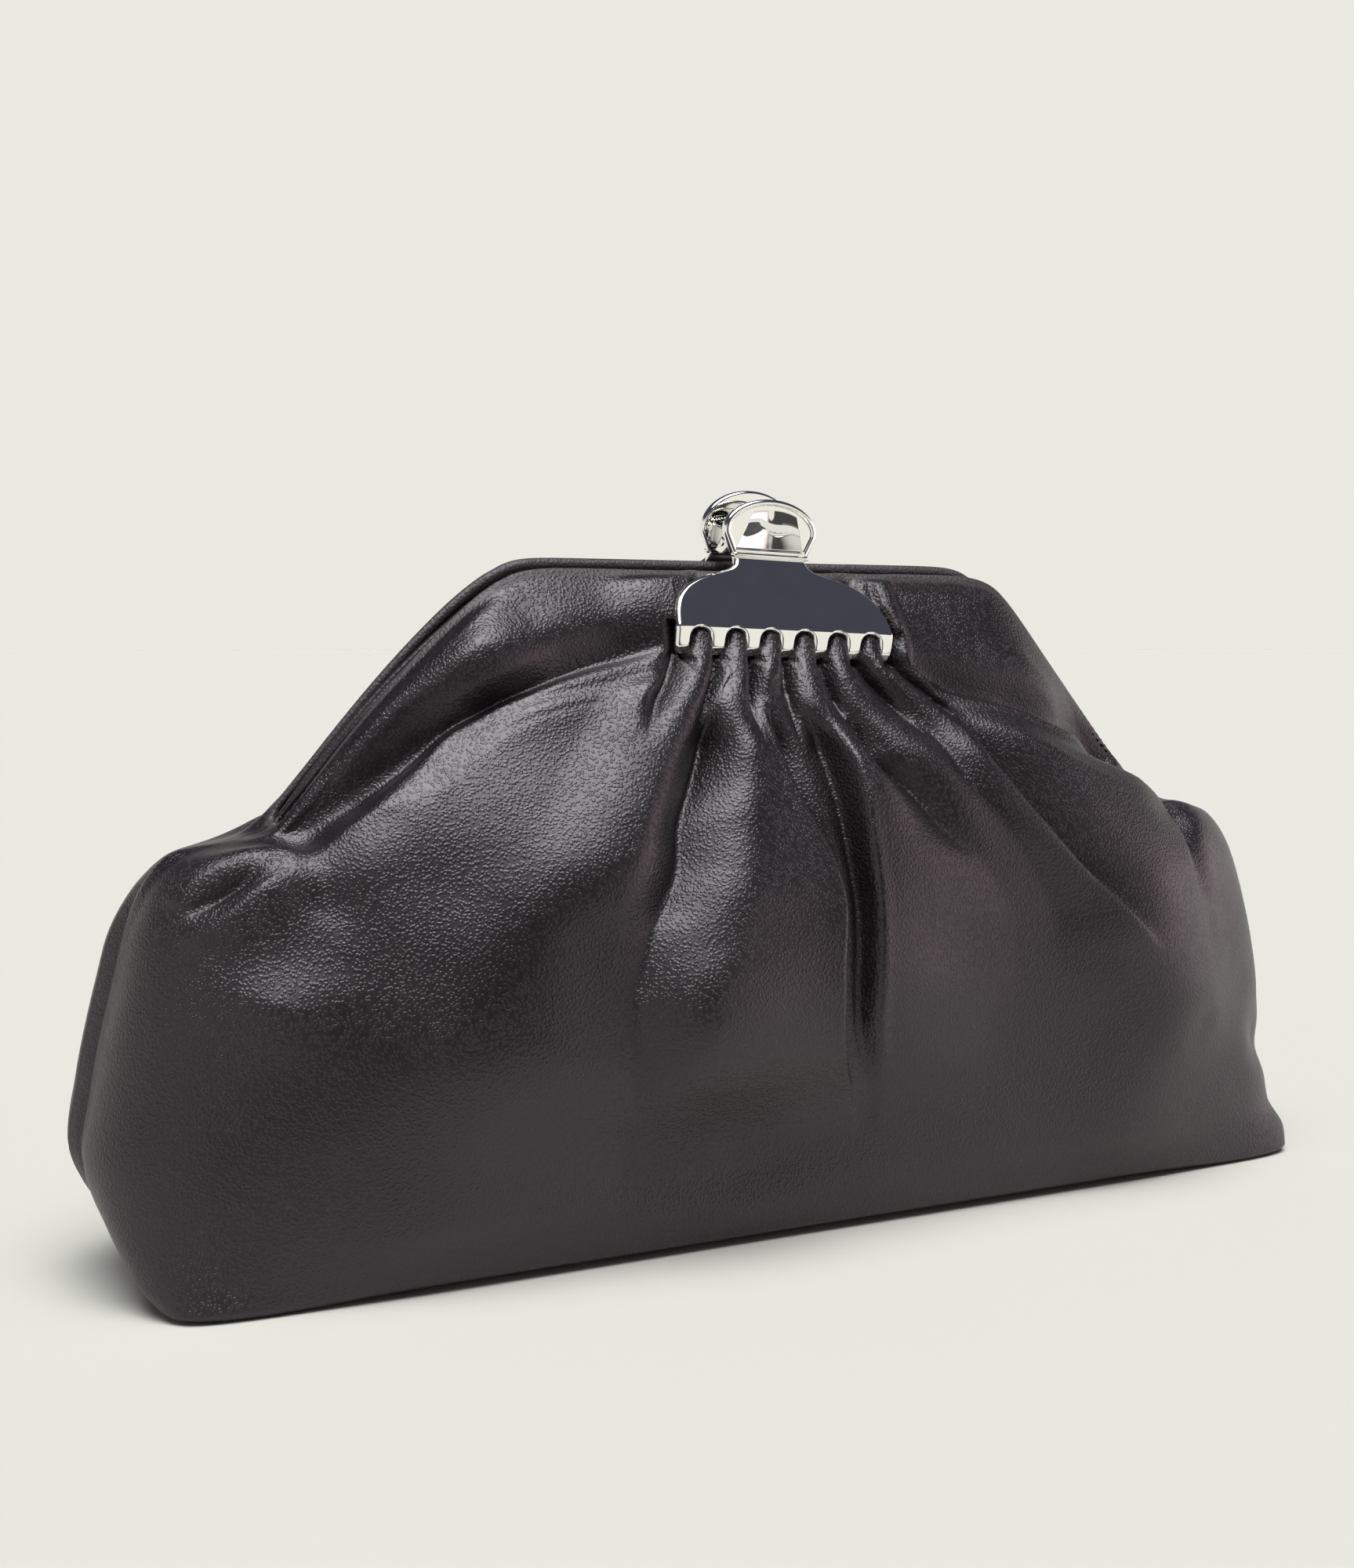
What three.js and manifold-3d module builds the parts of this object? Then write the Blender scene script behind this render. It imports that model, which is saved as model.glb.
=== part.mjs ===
// A soft framed pouch clutch in black leather, shut by a metal claw clip.
// Millimetres, +Z up, the front of the bag faces -Y. The bag stands on its flat base at z = 0.
import * as THREE from 'three';
import { mergeVertices } from 'three/addons/utils/BufferGeometryUtils.js';
import Module from 'manifold-3d';

const wasm = await Module();
wasm.setup();

// ---------------------------------------------------------------- driving sizes
const WALL = 1.8;            // leather with its backing
const SEAM_GAP = 0.3;        // between the two panels along the side and base seams
const LEAN = 0.06;           // the bag leans forward this much per millimetre of height
const MID_Y = 3.48;          // middle plane of the bag at the base, with the box round the part centred
const SEAM_FADE = 9;         // folds die out over this distance from the side seam
const RIM_FADE = 7;          // and from the rim
const FLOOR_FADE = 12;       // and above the floor

const BAR_DEEP = 2.4;        // frame bars, front to back
const BAR_TALL = 5.2;        // and along the sheet of the panel
const BAR_PROUD = 0.5;       // bar above the leather's edge
const BAR_GAP = 0.45;        // half the gap between the shut bars
const BAR_END_X = 115.5;     // bars stop here, inside the corner where the panels close

const CLIP = {
  pivotY: -7.02, pivotZ: 163, lean: 6, cant: 2,   // degrees: forward lean, right side low
  thick: 1.8,                 // cast plate
  combHalf: 30.2, pitch: 9.46, notches: 6, notchWide: 5.2, notchTop: -19.5, tip: -26.6,
  tabHalf: 12.9, tabMid: 3.2, tabRise: 7.8, tabFoot: -2.6, tabFootHalf: 10.4,
  rimWide: 1.3, recess: 0.45, tabThick: 2.3,
  pinR: 1.3, lugR: 3.0, lugThick: 2.0, frontLugX: 5.3, backLugX: 7.7, fit: 0.3,
  wireR: 0.45, coilR: 2.25, turns: 5,
};

// Sections of a panel from the base seam up to the rim. Half sizes of the whole bag at that level.
const SECTIONS = [
  { level: 'base seam',    halfWide: 149.0, halfDeep: 0.15, square: 12,  side: 0,    mid: 0,     flat: 0.5,    steps: 0 },
  { level: 'base',         halfWide: 149.5, halfDeep: 36.8, square: 16,  side: 0,    mid: 0,     flat: 0.5,    steps: 1 },
  { level: 'base turn',    halfWide: 154.5, halfDeep: 41.2, square: 15,  side: 1.3,  mid: 1.3,   flat: 0.5,    steps: 1 },
  { level: 'base edge',    halfWide: 157.5, halfDeep: 42.6, square: 11,  side: 5,    mid: 5,     flat: 0.5,    steps: 1 },
  { level: 'low',          halfWide: 160.0, halfDeep: 43.6, square: 5.6, side: 15,   mid: 16,    flat: 0.5,    steps: 1 },
  { level: 'belly low',    halfWide: 161.5, halfDeep: 44.5, square: 3.8, side: 27,   mid: 28,    flat: 0.5,    steps: 2 },
  { level: 'belly',        halfWide: 159.5, halfDeep: 45.0, square: 3.2, side: 44,   mid: 48,    flat: 0.5,    steps: 2 },
  { level: 'upper',        halfWide: 155.0, halfDeep: 42.0, square: 3.0, side: 66,   mid: 75,    flat: 0.45,   steps: 3 },
  { level: 'shoulder out', halfWide: 149.5, halfDeep: 37.0, square: 2.8, side: 85,   mid: 98,    flat: 0.40,   steps: 3 },
  { level: 'shoulder',     halfWide: 142.5, halfDeep: 30.0, square: 2.8, side: 93,   mid: 115,   flat: 0.42,   steps: 3 },
  { level: 'shoulder in',  halfWide: 130.0, halfDeep: 19.8, square: 3.0, side: 96,   mid: 134,   flat: 0.46,   steps: 4 },
  { level: 'under rim',    halfWide: 123.5, halfDeep: 10.3, square: 4.5, side: 97.5, mid: 149,   flat: 0.53,   steps: 4, frame: true },
  { level: 'rim',          halfWide: 121.3, halfDeep: 5.2,  square: 10,  side: 99,   mid: 156.5, flat: 0.5625, steps: 2, frame: true },
];

// Folds and dents: control points [x, z, height] along each, half widths to its left and right.
const FOLDS = {
  front: [
    { fold: 'pleat 1', left: 4.0, right: 3.6, path: [[-23.6, 137, 0.6], [-24.6, 132, 3.2], [-28, 126, 3.6], [-34.6, 116, 2.8], [-42.6, 107, 0]] },
    { fold: 'pleat 2', left: 4.4, right: 5.0, path: [[-14.2, 137, 0.6], [-15.2, 132, 3.4], [-16.3, 124, 3.6], [-16.2, 106, 2.6], [-13, 89, 0]] },
    { fold: 'pleat 3', left: 3.4, right: 3.4, path: [[-4.7, 137, 0.6], [-6, 132, 2.8], [-8, 126, 2.6], [-8.5, 114, 1.8], [-5, 99, 0]] },
    { fold: 'pleat 4', left: 3.8, right: 6.2, path: [[4.7, 137, 0.6], [4.4, 131, 3.6], [5.2, 117, 4.4], [9, 98, 4.2], [10.6, 69, 2.8], [11, 34, 0]] },
    { fold: 'pleat 5', left: 4.0, right: 4.6, path: [[14.2, 137, 0.6], [14.6, 131, 3.2], [16, 126, 3.2], [25, 116, 2.4], [40.5, 103, 0]] },
    { fold: 'pleat 6', left: 4.4, right: 6.5, path: [[23.6, 137, 0.6], [27, 132, 2.8], [36, 127, 3.0], [48, 120, 3.2], [58, 104, 3.0], [81, 88, 1.8], [102, 73, 0]] },
    { fold: 'valley 1', left: 4.5, right: 6.5, path: [[-20, 132, -1.6], [-24, 122, -2.8], [-31, 110, -3.0], [-37, 97, -2.6], [-42, 85, -2.0], [-54, 74, 0]] },
    { fold: 'valley 3', left: 5.0, right: 4.0, path: [[-0.5, 132, -1.8], [-1.6, 122, -3.2], [-1.6, 106, -3.8], [0.6, 88, -3.4], [2, 62, -2.2], [6, 38, 0]] },
    { fold: 'crease left', left: 7, right: 8, path: [[-31.5, 136.8, -1.5], [-44.6, 133.4, -3.5], [-65, 126.7, -5.5], [-83.7, 118.5, -6], [-99.5, 110.8, -5], [-114, 102.5, -3]] },
    { fold: 'crease right', left: 6, right: 7, path: [[33, 131, -1.2], [49.3, 125.3, -3.2], [70, 118.3, -4.6], [88, 114.5, -4], [104, 108, -2]] },
    { fold: 'shoulder pinch', left: 5, right: 5, path: [[-124, 95, -1.2], [-136.7, 90.5, -2.6], [-144, 84, -2]] },
    { fold: 'right drape', left: 9, right: 8, path: [[106, 92, 0.5], [109, 80, 1.8], [110, 58, 1.4], [109, 42, 0]] },
    { fold: 'corner dent right', left: 9, right: 9, path: [[150, 27, -1.5], [158, 23, -3.5], [162, 22, -3.5]] },
    { fold: 'corner dent left', left: 9, right: 9, path: [[-150, 22, -1], [-158, 19, -2.4], [-162, 18, -2.4]] },
  ],
  back: [
    { fold: 'pleat 1', left: 4.2, right: 4.2, path: [[-23.6, 137, 0.6], [-26, 130, 3.2], [-36, 116, 2.4], [-52, 100, 0]] },
    { fold: 'pleat 2', left: 4.4, right: 4.4, path: [[-14.2, 137, 0.6], [-15, 130, 3.2], [-19, 110, 2.6], [-22, 92, 0]] },
    { fold: 'pleat 3', left: 4.2, right: 4.2, path: [[-4.7, 137, 0.6], [-5, 130, 3.4], [-6, 105, 2.8], [-7, 75, 0]] },
    { fold: 'pleat 4', left: 4.2, right: 4.2, path: [[4.7, 137, 0.6], [5, 130, 3.4], [5.5, 108, 2.8], [6, 80, 0]] },
    { fold: 'pleat 5', left: 4.4, right: 4.4, path: [[14.2, 137, 0.6], [15.5, 130, 3.2], [21, 112, 2.4], [28, 96, 0]] },
    { fold: 'pleat 6', left: 4.2, right: 4.8, path: [[23.6, 137, 0.6], [27, 130, 3.2], [40, 115, 2.6], [62, 98, 0]] },
    { fold: 'crease left', left: 7, right: 8, path: [[-33, 134, -1.5], [-65, 125.5, -4.8], [-86, 117, -5], [-110, 104, -2.5]] },
    { fold: 'crease right', left: 7, right: 7, path: [[33, 133, -1.5], [66, 124, -4.6], [88, 115.5, -4.6], [110, 103, -2]] },
  ],
};
const GRID = { front: { columns: 54, share: 1 }, back: { columns: 40, share: 0.7 } };

// Outer face of a clip jaw, from its tab's top to its comb's tips: height over the pin, distance out.
const JAW = [
  { t: 7.0, w: 5.9 }, { t: 3.6, w: 5.6 }, { t: 0.4, w: 5.8 }, { t: -2.6, w: 6.9 }, { t: -5, w: 8.5 },
  { t: -9, w: 11.3 }, { t: -14, w: 15.0 }, { t: -18, w: 17.7 }, { t: -20.5, w: 18.9 }, { t: -23, w: 19.4 },
  { t: -25, w: 19.2 }, { t: -27, w: 18.5 },
];
// Half width of the plate under the tab.
const PLATE = [
  { t: -2.6, half: 9.8 }, { t: -4.7, half: 10.6 }, { t: -5.9, half: 12.8 }, { t: -7, half: 17.2 }, { t: -8.4, half: 21.8 },
  { t: -10.3, half: 25.6 }, { t: -13.1, half: 28.3 }, { t: -16.4, half: 29.6 }, { t: -20.2, half: 30.2 },
];

// ---------------------------------------------------------------- small helpers
const clamp01 = (v) => Math.min(1, Math.max(0, v));
const ease = (v) => { const c = clamp01(v); return c * c * (3 - 2 * c); };
const table = (rows, key, value, at) => {
  let i = 0;
  const up = rows[1][key] > rows[0][key];
  while (i < rows.length - 2 && (up ? at > rows[i + 1][key] : at < rows[i + 1][key])) i++;
  const a = rows[i], b = rows[i + 1];
  const f = clamp01((at - a[key]) / (b[key] - a[key]));
  return a[value] + f * (b[value] - a[value]);
};

// A closed indexed geometry from points and triangles.
function faceted(points, triangles) {
  const g = new THREE.BufferGeometry();
  g.setAttribute('position', new THREE.Float32BufferAttribute(points.flat(), 3));
  g.setIndex(triangles.flat());
  return g;
}
// Rings of equal length joined into a closed skin with flat ends.
function ringSkin(rings) {
  const n = rings[0].length, points = rings.flat(), tri = [];
  for (let r = 0; r < rings.length - 1; r++) for (let i = 0; i < n; i++) {
    const a = r * n + i, b = r * n + (i + 1) % n, c = a + n, d = b + n;
    tri.push([a, b, d], [a, d, c]);
  }
  const last = (rings.length - 1) * n;
  for (let i = 1; i < n - 1; i++) { tri.push([0, i + 1, i]); tri.push([last, last + i, last + i + 1]); }
  return faceted(points, tri);
}
const toSolid = (geometry) => {
  const g = geometry.clone();
  g.deleteAttribute('normal'); g.deleteAttribute('uv');
  const m = mergeVertices(g, 1e-4);
  const index = m.index ? Uint32Array.from(m.index.array) : Uint32Array.from({ length: m.attributes.position.count }, (_, i) => i);
  return new wasm.Manifold(new wasm.Mesh({ numProp: 3, vertProperties: Float32Array.from(m.attributes.position.array), triVerts: index }));
};
const toGeometry = (solid) => {
  const m = solid.getMesh(), p = [];
  for (let i = 0; i < m.vertProperties.length; i += m.numProp) p.push([m.vertProperties[i], m.vertProperties[i + 1], m.vertProperties[i + 2]]);
  const t = [];
  for (let i = 0; i < m.triVerts.length; i += 3) t.push([m.triVerts[i], m.triVerts[i + 1], m.triVerts[i + 2]]);
  return faceted(p, t);
};
// Extrude a flat outline and put its three axes where they are wanted.
function prism(outline, depth, place) {
  const g = new THREE.ExtrudeGeometry(new THREE.Shape(outline.map(([a, b]) => new THREE.Vector2(a, b))), { depth, bevelEnabled: false, steps: 1 });
  g.deleteAttribute('normal'); g.deleteAttribute('uv');
  const p = g.attributes.position;
  const probe = [place(1, 0, 0), place(0, 1, 0), place(0, 0, 1)].map((v, i) => v.map((c, k) => c - place(0, 0, 0)[k]));
  const det = probe[0][0] * (probe[1][1] * probe[2][2] - probe[1][2] * probe[2][1])
    - probe[0][1] * (probe[1][0] * probe[2][2] - probe[1][2] * probe[2][0])
    + probe[0][2] * (probe[1][0] * probe[2][1] - probe[1][1] * probe[2][0]);
  for (let i = 0; i < p.count; i++) p.setXYZ(i, ...place(p.getX(i), p.getY(i), p.getZ(i)));
  if (det < 0) for (let i = 0; i < p.count; i += 3) {
    const a = [p.getX(i + 1), p.getY(i + 1), p.getZ(i + 1)], b = [p.getX(i + 2), p.getY(i + 2), p.getZ(i + 2)];
    p.setXYZ(i + 1, ...b); p.setXYZ(i + 2, ...a);
  }
  return toSolid(g);
}

// ---------------------------------------------------------------- leather panels
// Height of a framed section: a level top with rounded corners and slightly convex slanted sides.
function frameHeight(row, x) {
  const a = (Math.abs(x) / row.halfWide - row.flat) / (1 - row.flat);
  const slant = row.mid + (row.side - row.mid) * a + 3 * Math.sin(Math.PI * clamp01(a));
  const round = 4;
  return row.side - round * Math.log(Math.exp(-(row.mid - row.side) / round) + Math.exp(-(slant - row.side) / round));
}
// A section as a fine run of points from the left seam to the right one, with the share of its length.
function sectionRun(row, count = 1200) {
  const run = [];
  let length = 0;
  for (let i = 0; i <= count; i++) {
    const turn = Math.PI * (i / count - 0.5), s = Math.sin(turn), c = Math.cos(turn);
    const x = row.halfWide * Math.sign(s) * Math.abs(s) ** (2 / row.square);
    const y = -row.halfDeep * Math.abs(c) ** (2 / row.square);
    const a = clamp01((Math.abs(x) / row.halfWide - row.flat) / (1 - row.flat));
    const z = row.frame ? frameHeight(row, x) : row.mid + (row.side - row.mid) * ease(a);
    if (i) { const q = run[i - 1]; length += Math.hypot(x - q.x, y - q.y, z - q.z); }
    run.push({ x, y, z, length });
  }
  run.forEach((p) => { p.share = p.length / length; });
  return run;
}
const RUNS = SECTIONS.map((row) => sectionRun(row));
function onRun(run, share) {
  let lo = 0, hi = run.length - 1;
  while (hi - lo > 1) { const m = (lo + hi) >> 1; if (run[m].share <= share) lo = m; else hi = m; }
  const a = run[lo], b = run[hi], f = (share - a.share) / (b.share - a.share || 1);
  return [a.x + f * (b.x - a.x), Math.min(a.y + f * (b.y - a.y), -SEAM_GAP / 2), a.z + f * (b.z - a.z)];
}
// Smooth run through the sections at one share, with no overshoot, so the base stays flat.
function riseAt(share, stations) {
  const rows = RUNS.map((run) => onRun(run, share));
  const gaps = rows.slice(1).map((p, i) => Math.max(1e-6, Math.hypot(p[0] - rows[i][0], p[1] - rows[i][1], p[2] - rows[i][2])));
  const slope = rows.map((p, i) => p.map((_, k) => {
    if (i === 0) return (rows[1][k] - p[k]) / gaps[0];
    if (i === rows.length - 1) return (p[k] - rows[i - 1][k]) / gaps[i - 1];
    const s0 = (p[k] - rows[i - 1][k]) / gaps[i - 1], s1 = (rows[i + 1][k] - p[k]) / gaps[i];
    if (s0 * s1 <= 0) return 0;
    const w0 = 2 * gaps[i] + gaps[i - 1], w1 = gaps[i] + 2 * gaps[i - 1];
    return (w0 + w1) / (w0 / s0 + w1 / s1);
  }));
  return stations.map(({ i, t }) => rows[i].map((p0, k) => {
    const h = gaps[i], p1 = rows[i + 1][k];
    return (2 * t ** 3 - 3 * t ** 2 + 1) * p0 + (t ** 3 - 2 * t ** 2 + t) * h * slope[i][k]
      + (-2 * t ** 3 + 3 * t ** 2) * p1 + (t ** 3 - t ** 2) * h * slope[i + 1][k];
  }));
}
// Height of one fold at a point of the panel.
function foldHeight(row, x, z) {
  let best = Infinity, height = 0, wide = 1;
  for (let i = 0; i < row.path.length - 1; i++) {
    const [ax, az, ah] = row.path[i], [bx, bz, bh] = row.path[i + 1];
    const dx = bx - ax, dz = bz - az;
    const f = clamp01(((x - ax) * dx + (z - az) * dz) / (dx * dx + dz * dz));
    const ex = x - ax - f * dx, ez = z - az - f * dz, d = Math.hypot(ex, ez);
    if (d < best) { best = d; height = ah + f * (bh - ah); wide = dx * ez - dz * ex > 0 ? row.left : row.right; }
  }
  return height * Math.exp(-((best / wide) ** 2));
}
// Place of a leather point in the clip's own axes, and the room it has under the jaw.
const radians = Math.PI / 180;
const CLIP_UP = [-Math.sin(CLIP.lean * radians), Math.cos(CLIP.lean * radians)];
function pressed(x, y, z, side) {
  const ry = y - CLIP.pivotY, rz = z - CLIP.pivotZ + x * Math.tan(CLIP.cant * radians);
  const t = ry * CLIP_UP[0] + rz * CLIP_UP[1], w = side * (ry * CLIP_UP[1] - rz * CLIP_UP[0]);
  const beside = Math.abs(x) - (table(PLATE, 't', 'half', t) + 2.5);
  if (t > -3 || beside > 6) return y;
  const jaw = table(JAW, 't', 'w', Math.max(t, -27)) - CLIP.thick * 1.28 - 0.8;   // the plate is steep, so thicker this way
  const room = jaw + Math.max(0, -27.6 - t) * 1.3 + Math.max(0, beside) * 1.2;
  return w > room ? y - side * (w - room) : y;
}
function panel(name) {
  const side = name === 'front' ? -1 : 1, { columns, share: fine } = GRID[name];
  const stations = [{ i: 0, t: 0 }];
  SECTIONS.forEach((row, i) => {
    const steps = Math.max(1, Math.round(row.steps * fine));
    if (i) for (let k = 1; k <= steps; k++) stations.push({ i: i - 1, t: k / steps });
  });
  const shares = Array.from({ length: columns + 1 }, (_, c) => { const a = 2 * c / columns - 1; return 0.5 + 0.5 * (0.55 * a + 0.45 * a ** 3); });
  const grid = shares.map((s) => riseAt(s, stations));            // [column][station]
  const at = (c, r) => grid[Math.min(columns, Math.max(0, c))][Math.min(stations.length - 1, Math.max(0, r))];
  const outer = [], inner = [];
  const rimRun = grid.map((col) => col[col.length - 1]);
  for (let c = 0; c <= columns; c++) for (let r = 0; r < stations.length; r++) {
    const p = at(c, r), du = at(c + 1, r).map((v, k) => v - at(c - 1, r)[k]), dv = at(c, r + 1).map((v, k) => v - at(c, r - 1)[k]);
    const n = new THREE.Vector3(...du).cross(new THREE.Vector3(...dv)).normalize();
    if (c === 0 || c === columns) { n.y = 0; n.normalize(); }       // wall ends flat along the side seams
    if (r === 0) n.set(0, 0, -1);                                    // and along the base seam
    const rimAway = Math.min(...rimRun.map((q) => Math.hypot(q[0] - p[0], q[1] - p[1], q[2] - p[2])));
    const seamAway = Math.abs(p[1]);
    const fade = ease(seamAway / SEAM_FADE) * ease(rimAway / RIM_FADE) * ease((p[2] - 3) / FLOOR_FADE);
    const lift = fade * FOLDS[name].reduce((sum, row) => sum + foldHeight(row, p[0], p[2]), 0);
    const place = (out) => {
      const x = p[0] + n.x * out, z = p[2] + n.z * out;
      const y = MID_Y - LEAN * z - side * (p[1] + n.y * out);
      return [x, y, z];
    };
    const skin = place(lift), lining = place(lift - WALL);
    const pressedY = pressed(...skin, side);
    lining[1] += pressedY - skin[1];
    skin[1] = pressedY;
    outer.push(skin); inner.push(lining);
  }
  const points = [...outer, ...inner], rows = stations.length, off = outer.length, tri = [];
  const put = (a, b, c) => tri.push(side < 0 ? [a, b, c] : [a, c, b]);
  const id = (c, r) => c * rows + r;
  for (let c = 0; c < columns; c++) for (let r = 0; r < rows - 1; r++) {
    const a = id(c, r), b = id(c + 1, r), d = id(c + 1, r + 1), e = id(c, r + 1);
    put(a, b, d); put(a, d, e);
    put(a + off, d + off, b + off); put(a + off, e + off, d + off);
  }
  const edge = (a, b) => { put(a, a + off, b + off); put(a, b + off, b); };
  for (let c = 0; c < columns; c++) { edge(id(c, 0), id(c + 1, 0)); edge(id(c + 1, rows - 1), id(c, rows - 1)); }
  for (let r = 0; r < rows - 1; r++) { edge(id(0, r + 1), id(0, r)); edge(id(columns, r), id(columns, r + 1)); }
  return faceted(points, tri);
}

// ---------------------------------------------------------------- frame bars
function frameBar(side) {
  const rim = SECTIONS[SECTIONS.length - 1], steps = 44, rings = [];
  for (let i = 0; i <= steps; i++) {
    const x = BAR_END_X * Math.sin(Math.PI * (i / steps - 0.5) * 0.86) / Math.sin(Math.PI * 0.43);
    const z = frameHeight(rim, x), dz = (frameHeight(rim, x + 0.05) - frameHeight(rim, x - 0.05)) / 0.1;
    const out = new THREE.Vector2(-dz, 1).normalize();                 // away from the bag, in the sheet of the frame
    const slim = 1 - 0.3 * ease((Math.abs(x) - 100) / 14);
    const deep = BAR_DEEP * slim, round = deep * 0.42;
    const section = [
      [BAR_PROUD, round], [BAR_PROUD, deep - round], [BAR_PROUD - round, deep], [-BAR_TALL + round, deep],
      [-BAR_TALL, deep - round], [-BAR_TALL, round], [-BAR_TALL + round, 0], [BAR_PROUD - round, 0],
    ];
    rings.push(section.map(([n, d]) => {
      const px = x + out.x * n, pz = z + out.y * n;
      return [px, MID_Y - LEAN * pz + side * (BAR_GAP + d), pz];
    }));
  }
  if (side > 0) rings.forEach((ring) => ring.reverse());
  return ringSkin(rings);
}

// ---------------------------------------------------------------- claw clip, in its own axes: pin along X at the origin
function jawProfile(thick) {
  const outer = JAW.map(({ t, w }) => new THREE.Vector2(w, t));
  const inner = outer.map((p, i) => {
    const d = outer[Math.min(i + 1, outer.length - 1)].clone().sub(outer[Math.max(i - 1, 0)]).normalize();
    return new THREE.Vector2(p.x + d.y * thick, p.y - d.x * thick);    // the inside lies to the pin's side
  });
  return [...outer, ...inner.reverse()].map((v) => [v.x, v.y]);
}
const notchX = Array.from({ length: CLIP.notches }, (_, i) => (i - (CLIP.notches - 1) / 2) * CLIP.pitch);
function plateOutline() {
  const right = PLATE.map(({ t, half }) => [half, t]);
  const foot = [];
  const tipHalf = CLIP.combHalf - 0.6, r = CLIP.notchWide / 2;
  foot.push([tipHalf, CLIP.tip]);
  for (const x of [...notchX].reverse()) {
    foot.push([x + r, CLIP.tip]);
    for (let k = 0; k <= 6; k++) { const a = Math.PI * k / 6; foot.push([x + r * Math.cos(a), CLIP.notchTop - r + r * Math.sin(a)]); }
    foot.push([x - r, CLIP.tip]);
  }
  foot.push([-tipHalf, CLIP.tip]);
  return [...right, ...foot, ...right.map(([x, t]) => [-x, t]).reverse()].reverse();
}
function tabOutline(inset) {
  const p = [[CLIP.tabFootHalf - inset, CLIP.tabFoot + inset]];
  for (let k = 0; k <= 16; k++) {
    const a = Math.PI * k / 16;
    p.push([(CLIP.tabHalf - inset) * Math.cos(a), CLIP.tabMid + (CLIP.tabRise - inset) * Math.sin(a)]);
  }
  p.push([-CLIP.tabFootHalf + inset, CLIP.tabFoot + inset]);
  return p;
}
const circle = (r, n, cx = 0, cy = 0) => Array.from({ length: n }, (_, i) => [cx + r * Math.cos(2 * Math.PI * i / n), cy + r * Math.sin(2 * Math.PI * i / n)]);
function jaw(side, lugX) {
  const across = (profile, x0, x1) => prism(profile, x1 - x0, (w, t, d) => [x0 + d, side * w, t]);
  const facing = (outline, w0, w1) => prism(outline, w1 - w0, (x, t, d) => [x, side * (w0 + d), t]);
  const plate = across(jawProfile(CLIP.thick), -34, 34).intersect(facing(plateOutline(), 2, 30));
  const face = 7.1;                                                     // tab's outer face from the pin
  const tab = facing(tabOutline(0), face - CLIP.tabThick, face).subtract(facing(tabOutline(CLIP.rimWide), face - CLIP.recess, face + 1));
  const ledge = across([[face - 1.6, CLIP.tabFoot - 0.6], [face + 0.55, CLIP.tabFoot - 0.6], [face + 0.55, CLIP.tabFoot + 0.7], [face - 1.6, CLIP.tabFoot + 0.7]],
    -CLIP.tabFootHalf, CLIP.tabFootHalf);
  const arm = [[0, -CLIP.lugR], [face - 1, -CLIP.lugR + 1], [face - 1, CLIP.lugR + 1.5], [0, CLIP.lugR]];
  const ring = circle(CLIP.lugR, 24), bore = circle(CLIP.pinR + CLIP.fit, 20);
  let solid = plate.add(tab).add(ledge);
  for (const s of [-1, 1]) {
    const x0 = s > 0 ? lugX : -lugX - CLIP.lugThick;
    const lug = across(arm, x0, x0 + CLIP.lugThick).add(across(ring, x0, x0 + CLIP.lugThick)).subtract(across(bore, x0 - 1, x0 + CLIP.lugThick + 1));
    solid = solid.add(lug);
  }
  return toGeometry(solid);
}
function pinGeometry() {
  const half = CLIP.backLugX + CLIP.lugThick + 0.4;
  const g = new THREE.CylinderGeometry(CLIP.pinR, CLIP.pinR, 2 * half, 18);
  g.rotateZ(Math.PI / 2);
  return mergeVertices((g.deleteAttribute('normal'), g.deleteAttribute('uv'), g), 1e-4);
}
function springGeometry() {
  const half = CLIP.frontLugX - 0.9, steps = CLIP.turns * 14, rings = [], sides = 6;
  for (let i = 0; i <= steps; i++) {
    const a = 2 * Math.PI * CLIP.turns * i / steps, x = -half + 2 * half * i / steps;
    const radial = new THREE.Vector3(0, Math.cos(a), Math.sin(a)), along = new THREE.Vector3(1, 0, 0);
    const centre = radial.clone().multiplyScalar(CLIP.coilR).setX(x);
    rings.push(Array.from({ length: sides }, (_, k) => {
      const b = -2 * Math.PI * k / sides;
      return centre.clone().addScaledVector(radial, CLIP.wireR * Math.cos(b)).addScaledVector(along, CLIP.wireR * Math.sin(b)).toArray();
    }));
  }
  return ringSkin(rings);
}

// ---------------------------------------------------------------- the bag
const leather = { color: 0x1b191b, roughness: 0.46, metalness: 0 };
const nickel = { color: 0xd9d6cf, roughness: 0.08, metalness: 1 };
function piece(name, geometry, look) {
  const mesh = new THREE.Mesh(geometry, new THREE.MeshStandardMaterial(look));
  mesh.name = name;
  return mesh;
}
const bag = new THREE.Group();
bag.name = 'framed_pouch_clutch';
bag.add(
  piece('front_panel', panel('front'), leather),
  piece('back_panel', panel('back'), { ...leather, color: 0x1a181a }),
  piece('frame_front', frameBar(-1), { ...leather, color: 0x201e20, roughness: 0.4 }),
  piece('frame_back', frameBar(1), { ...leather, color: 0x201e20, roughness: 0.4 }),
);
const clip = new THREE.Group();
clip.name = 'clip';
clip.position.set(0, CLIP.pivotY, CLIP.pivotZ);
clip.rotation.set(CLIP.lean * radians, CLIP.cant * radians, 0, 'YXZ');
clip.add(
  piece('clip_front', jaw(-1, CLIP.frontLugX), nickel),
  piece('clip_back', jaw(1, CLIP.backLugX), nickel),
  piece('clip_pin', pinGeometry(), { ...nickel, roughness: 0.2 }),
  piece('clip_spring', springGeometry(), { ...nickel, color: 0xb9b7b2, roughness: 0.25 }),
);
bag.add(clip);

export default bag;
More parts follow.
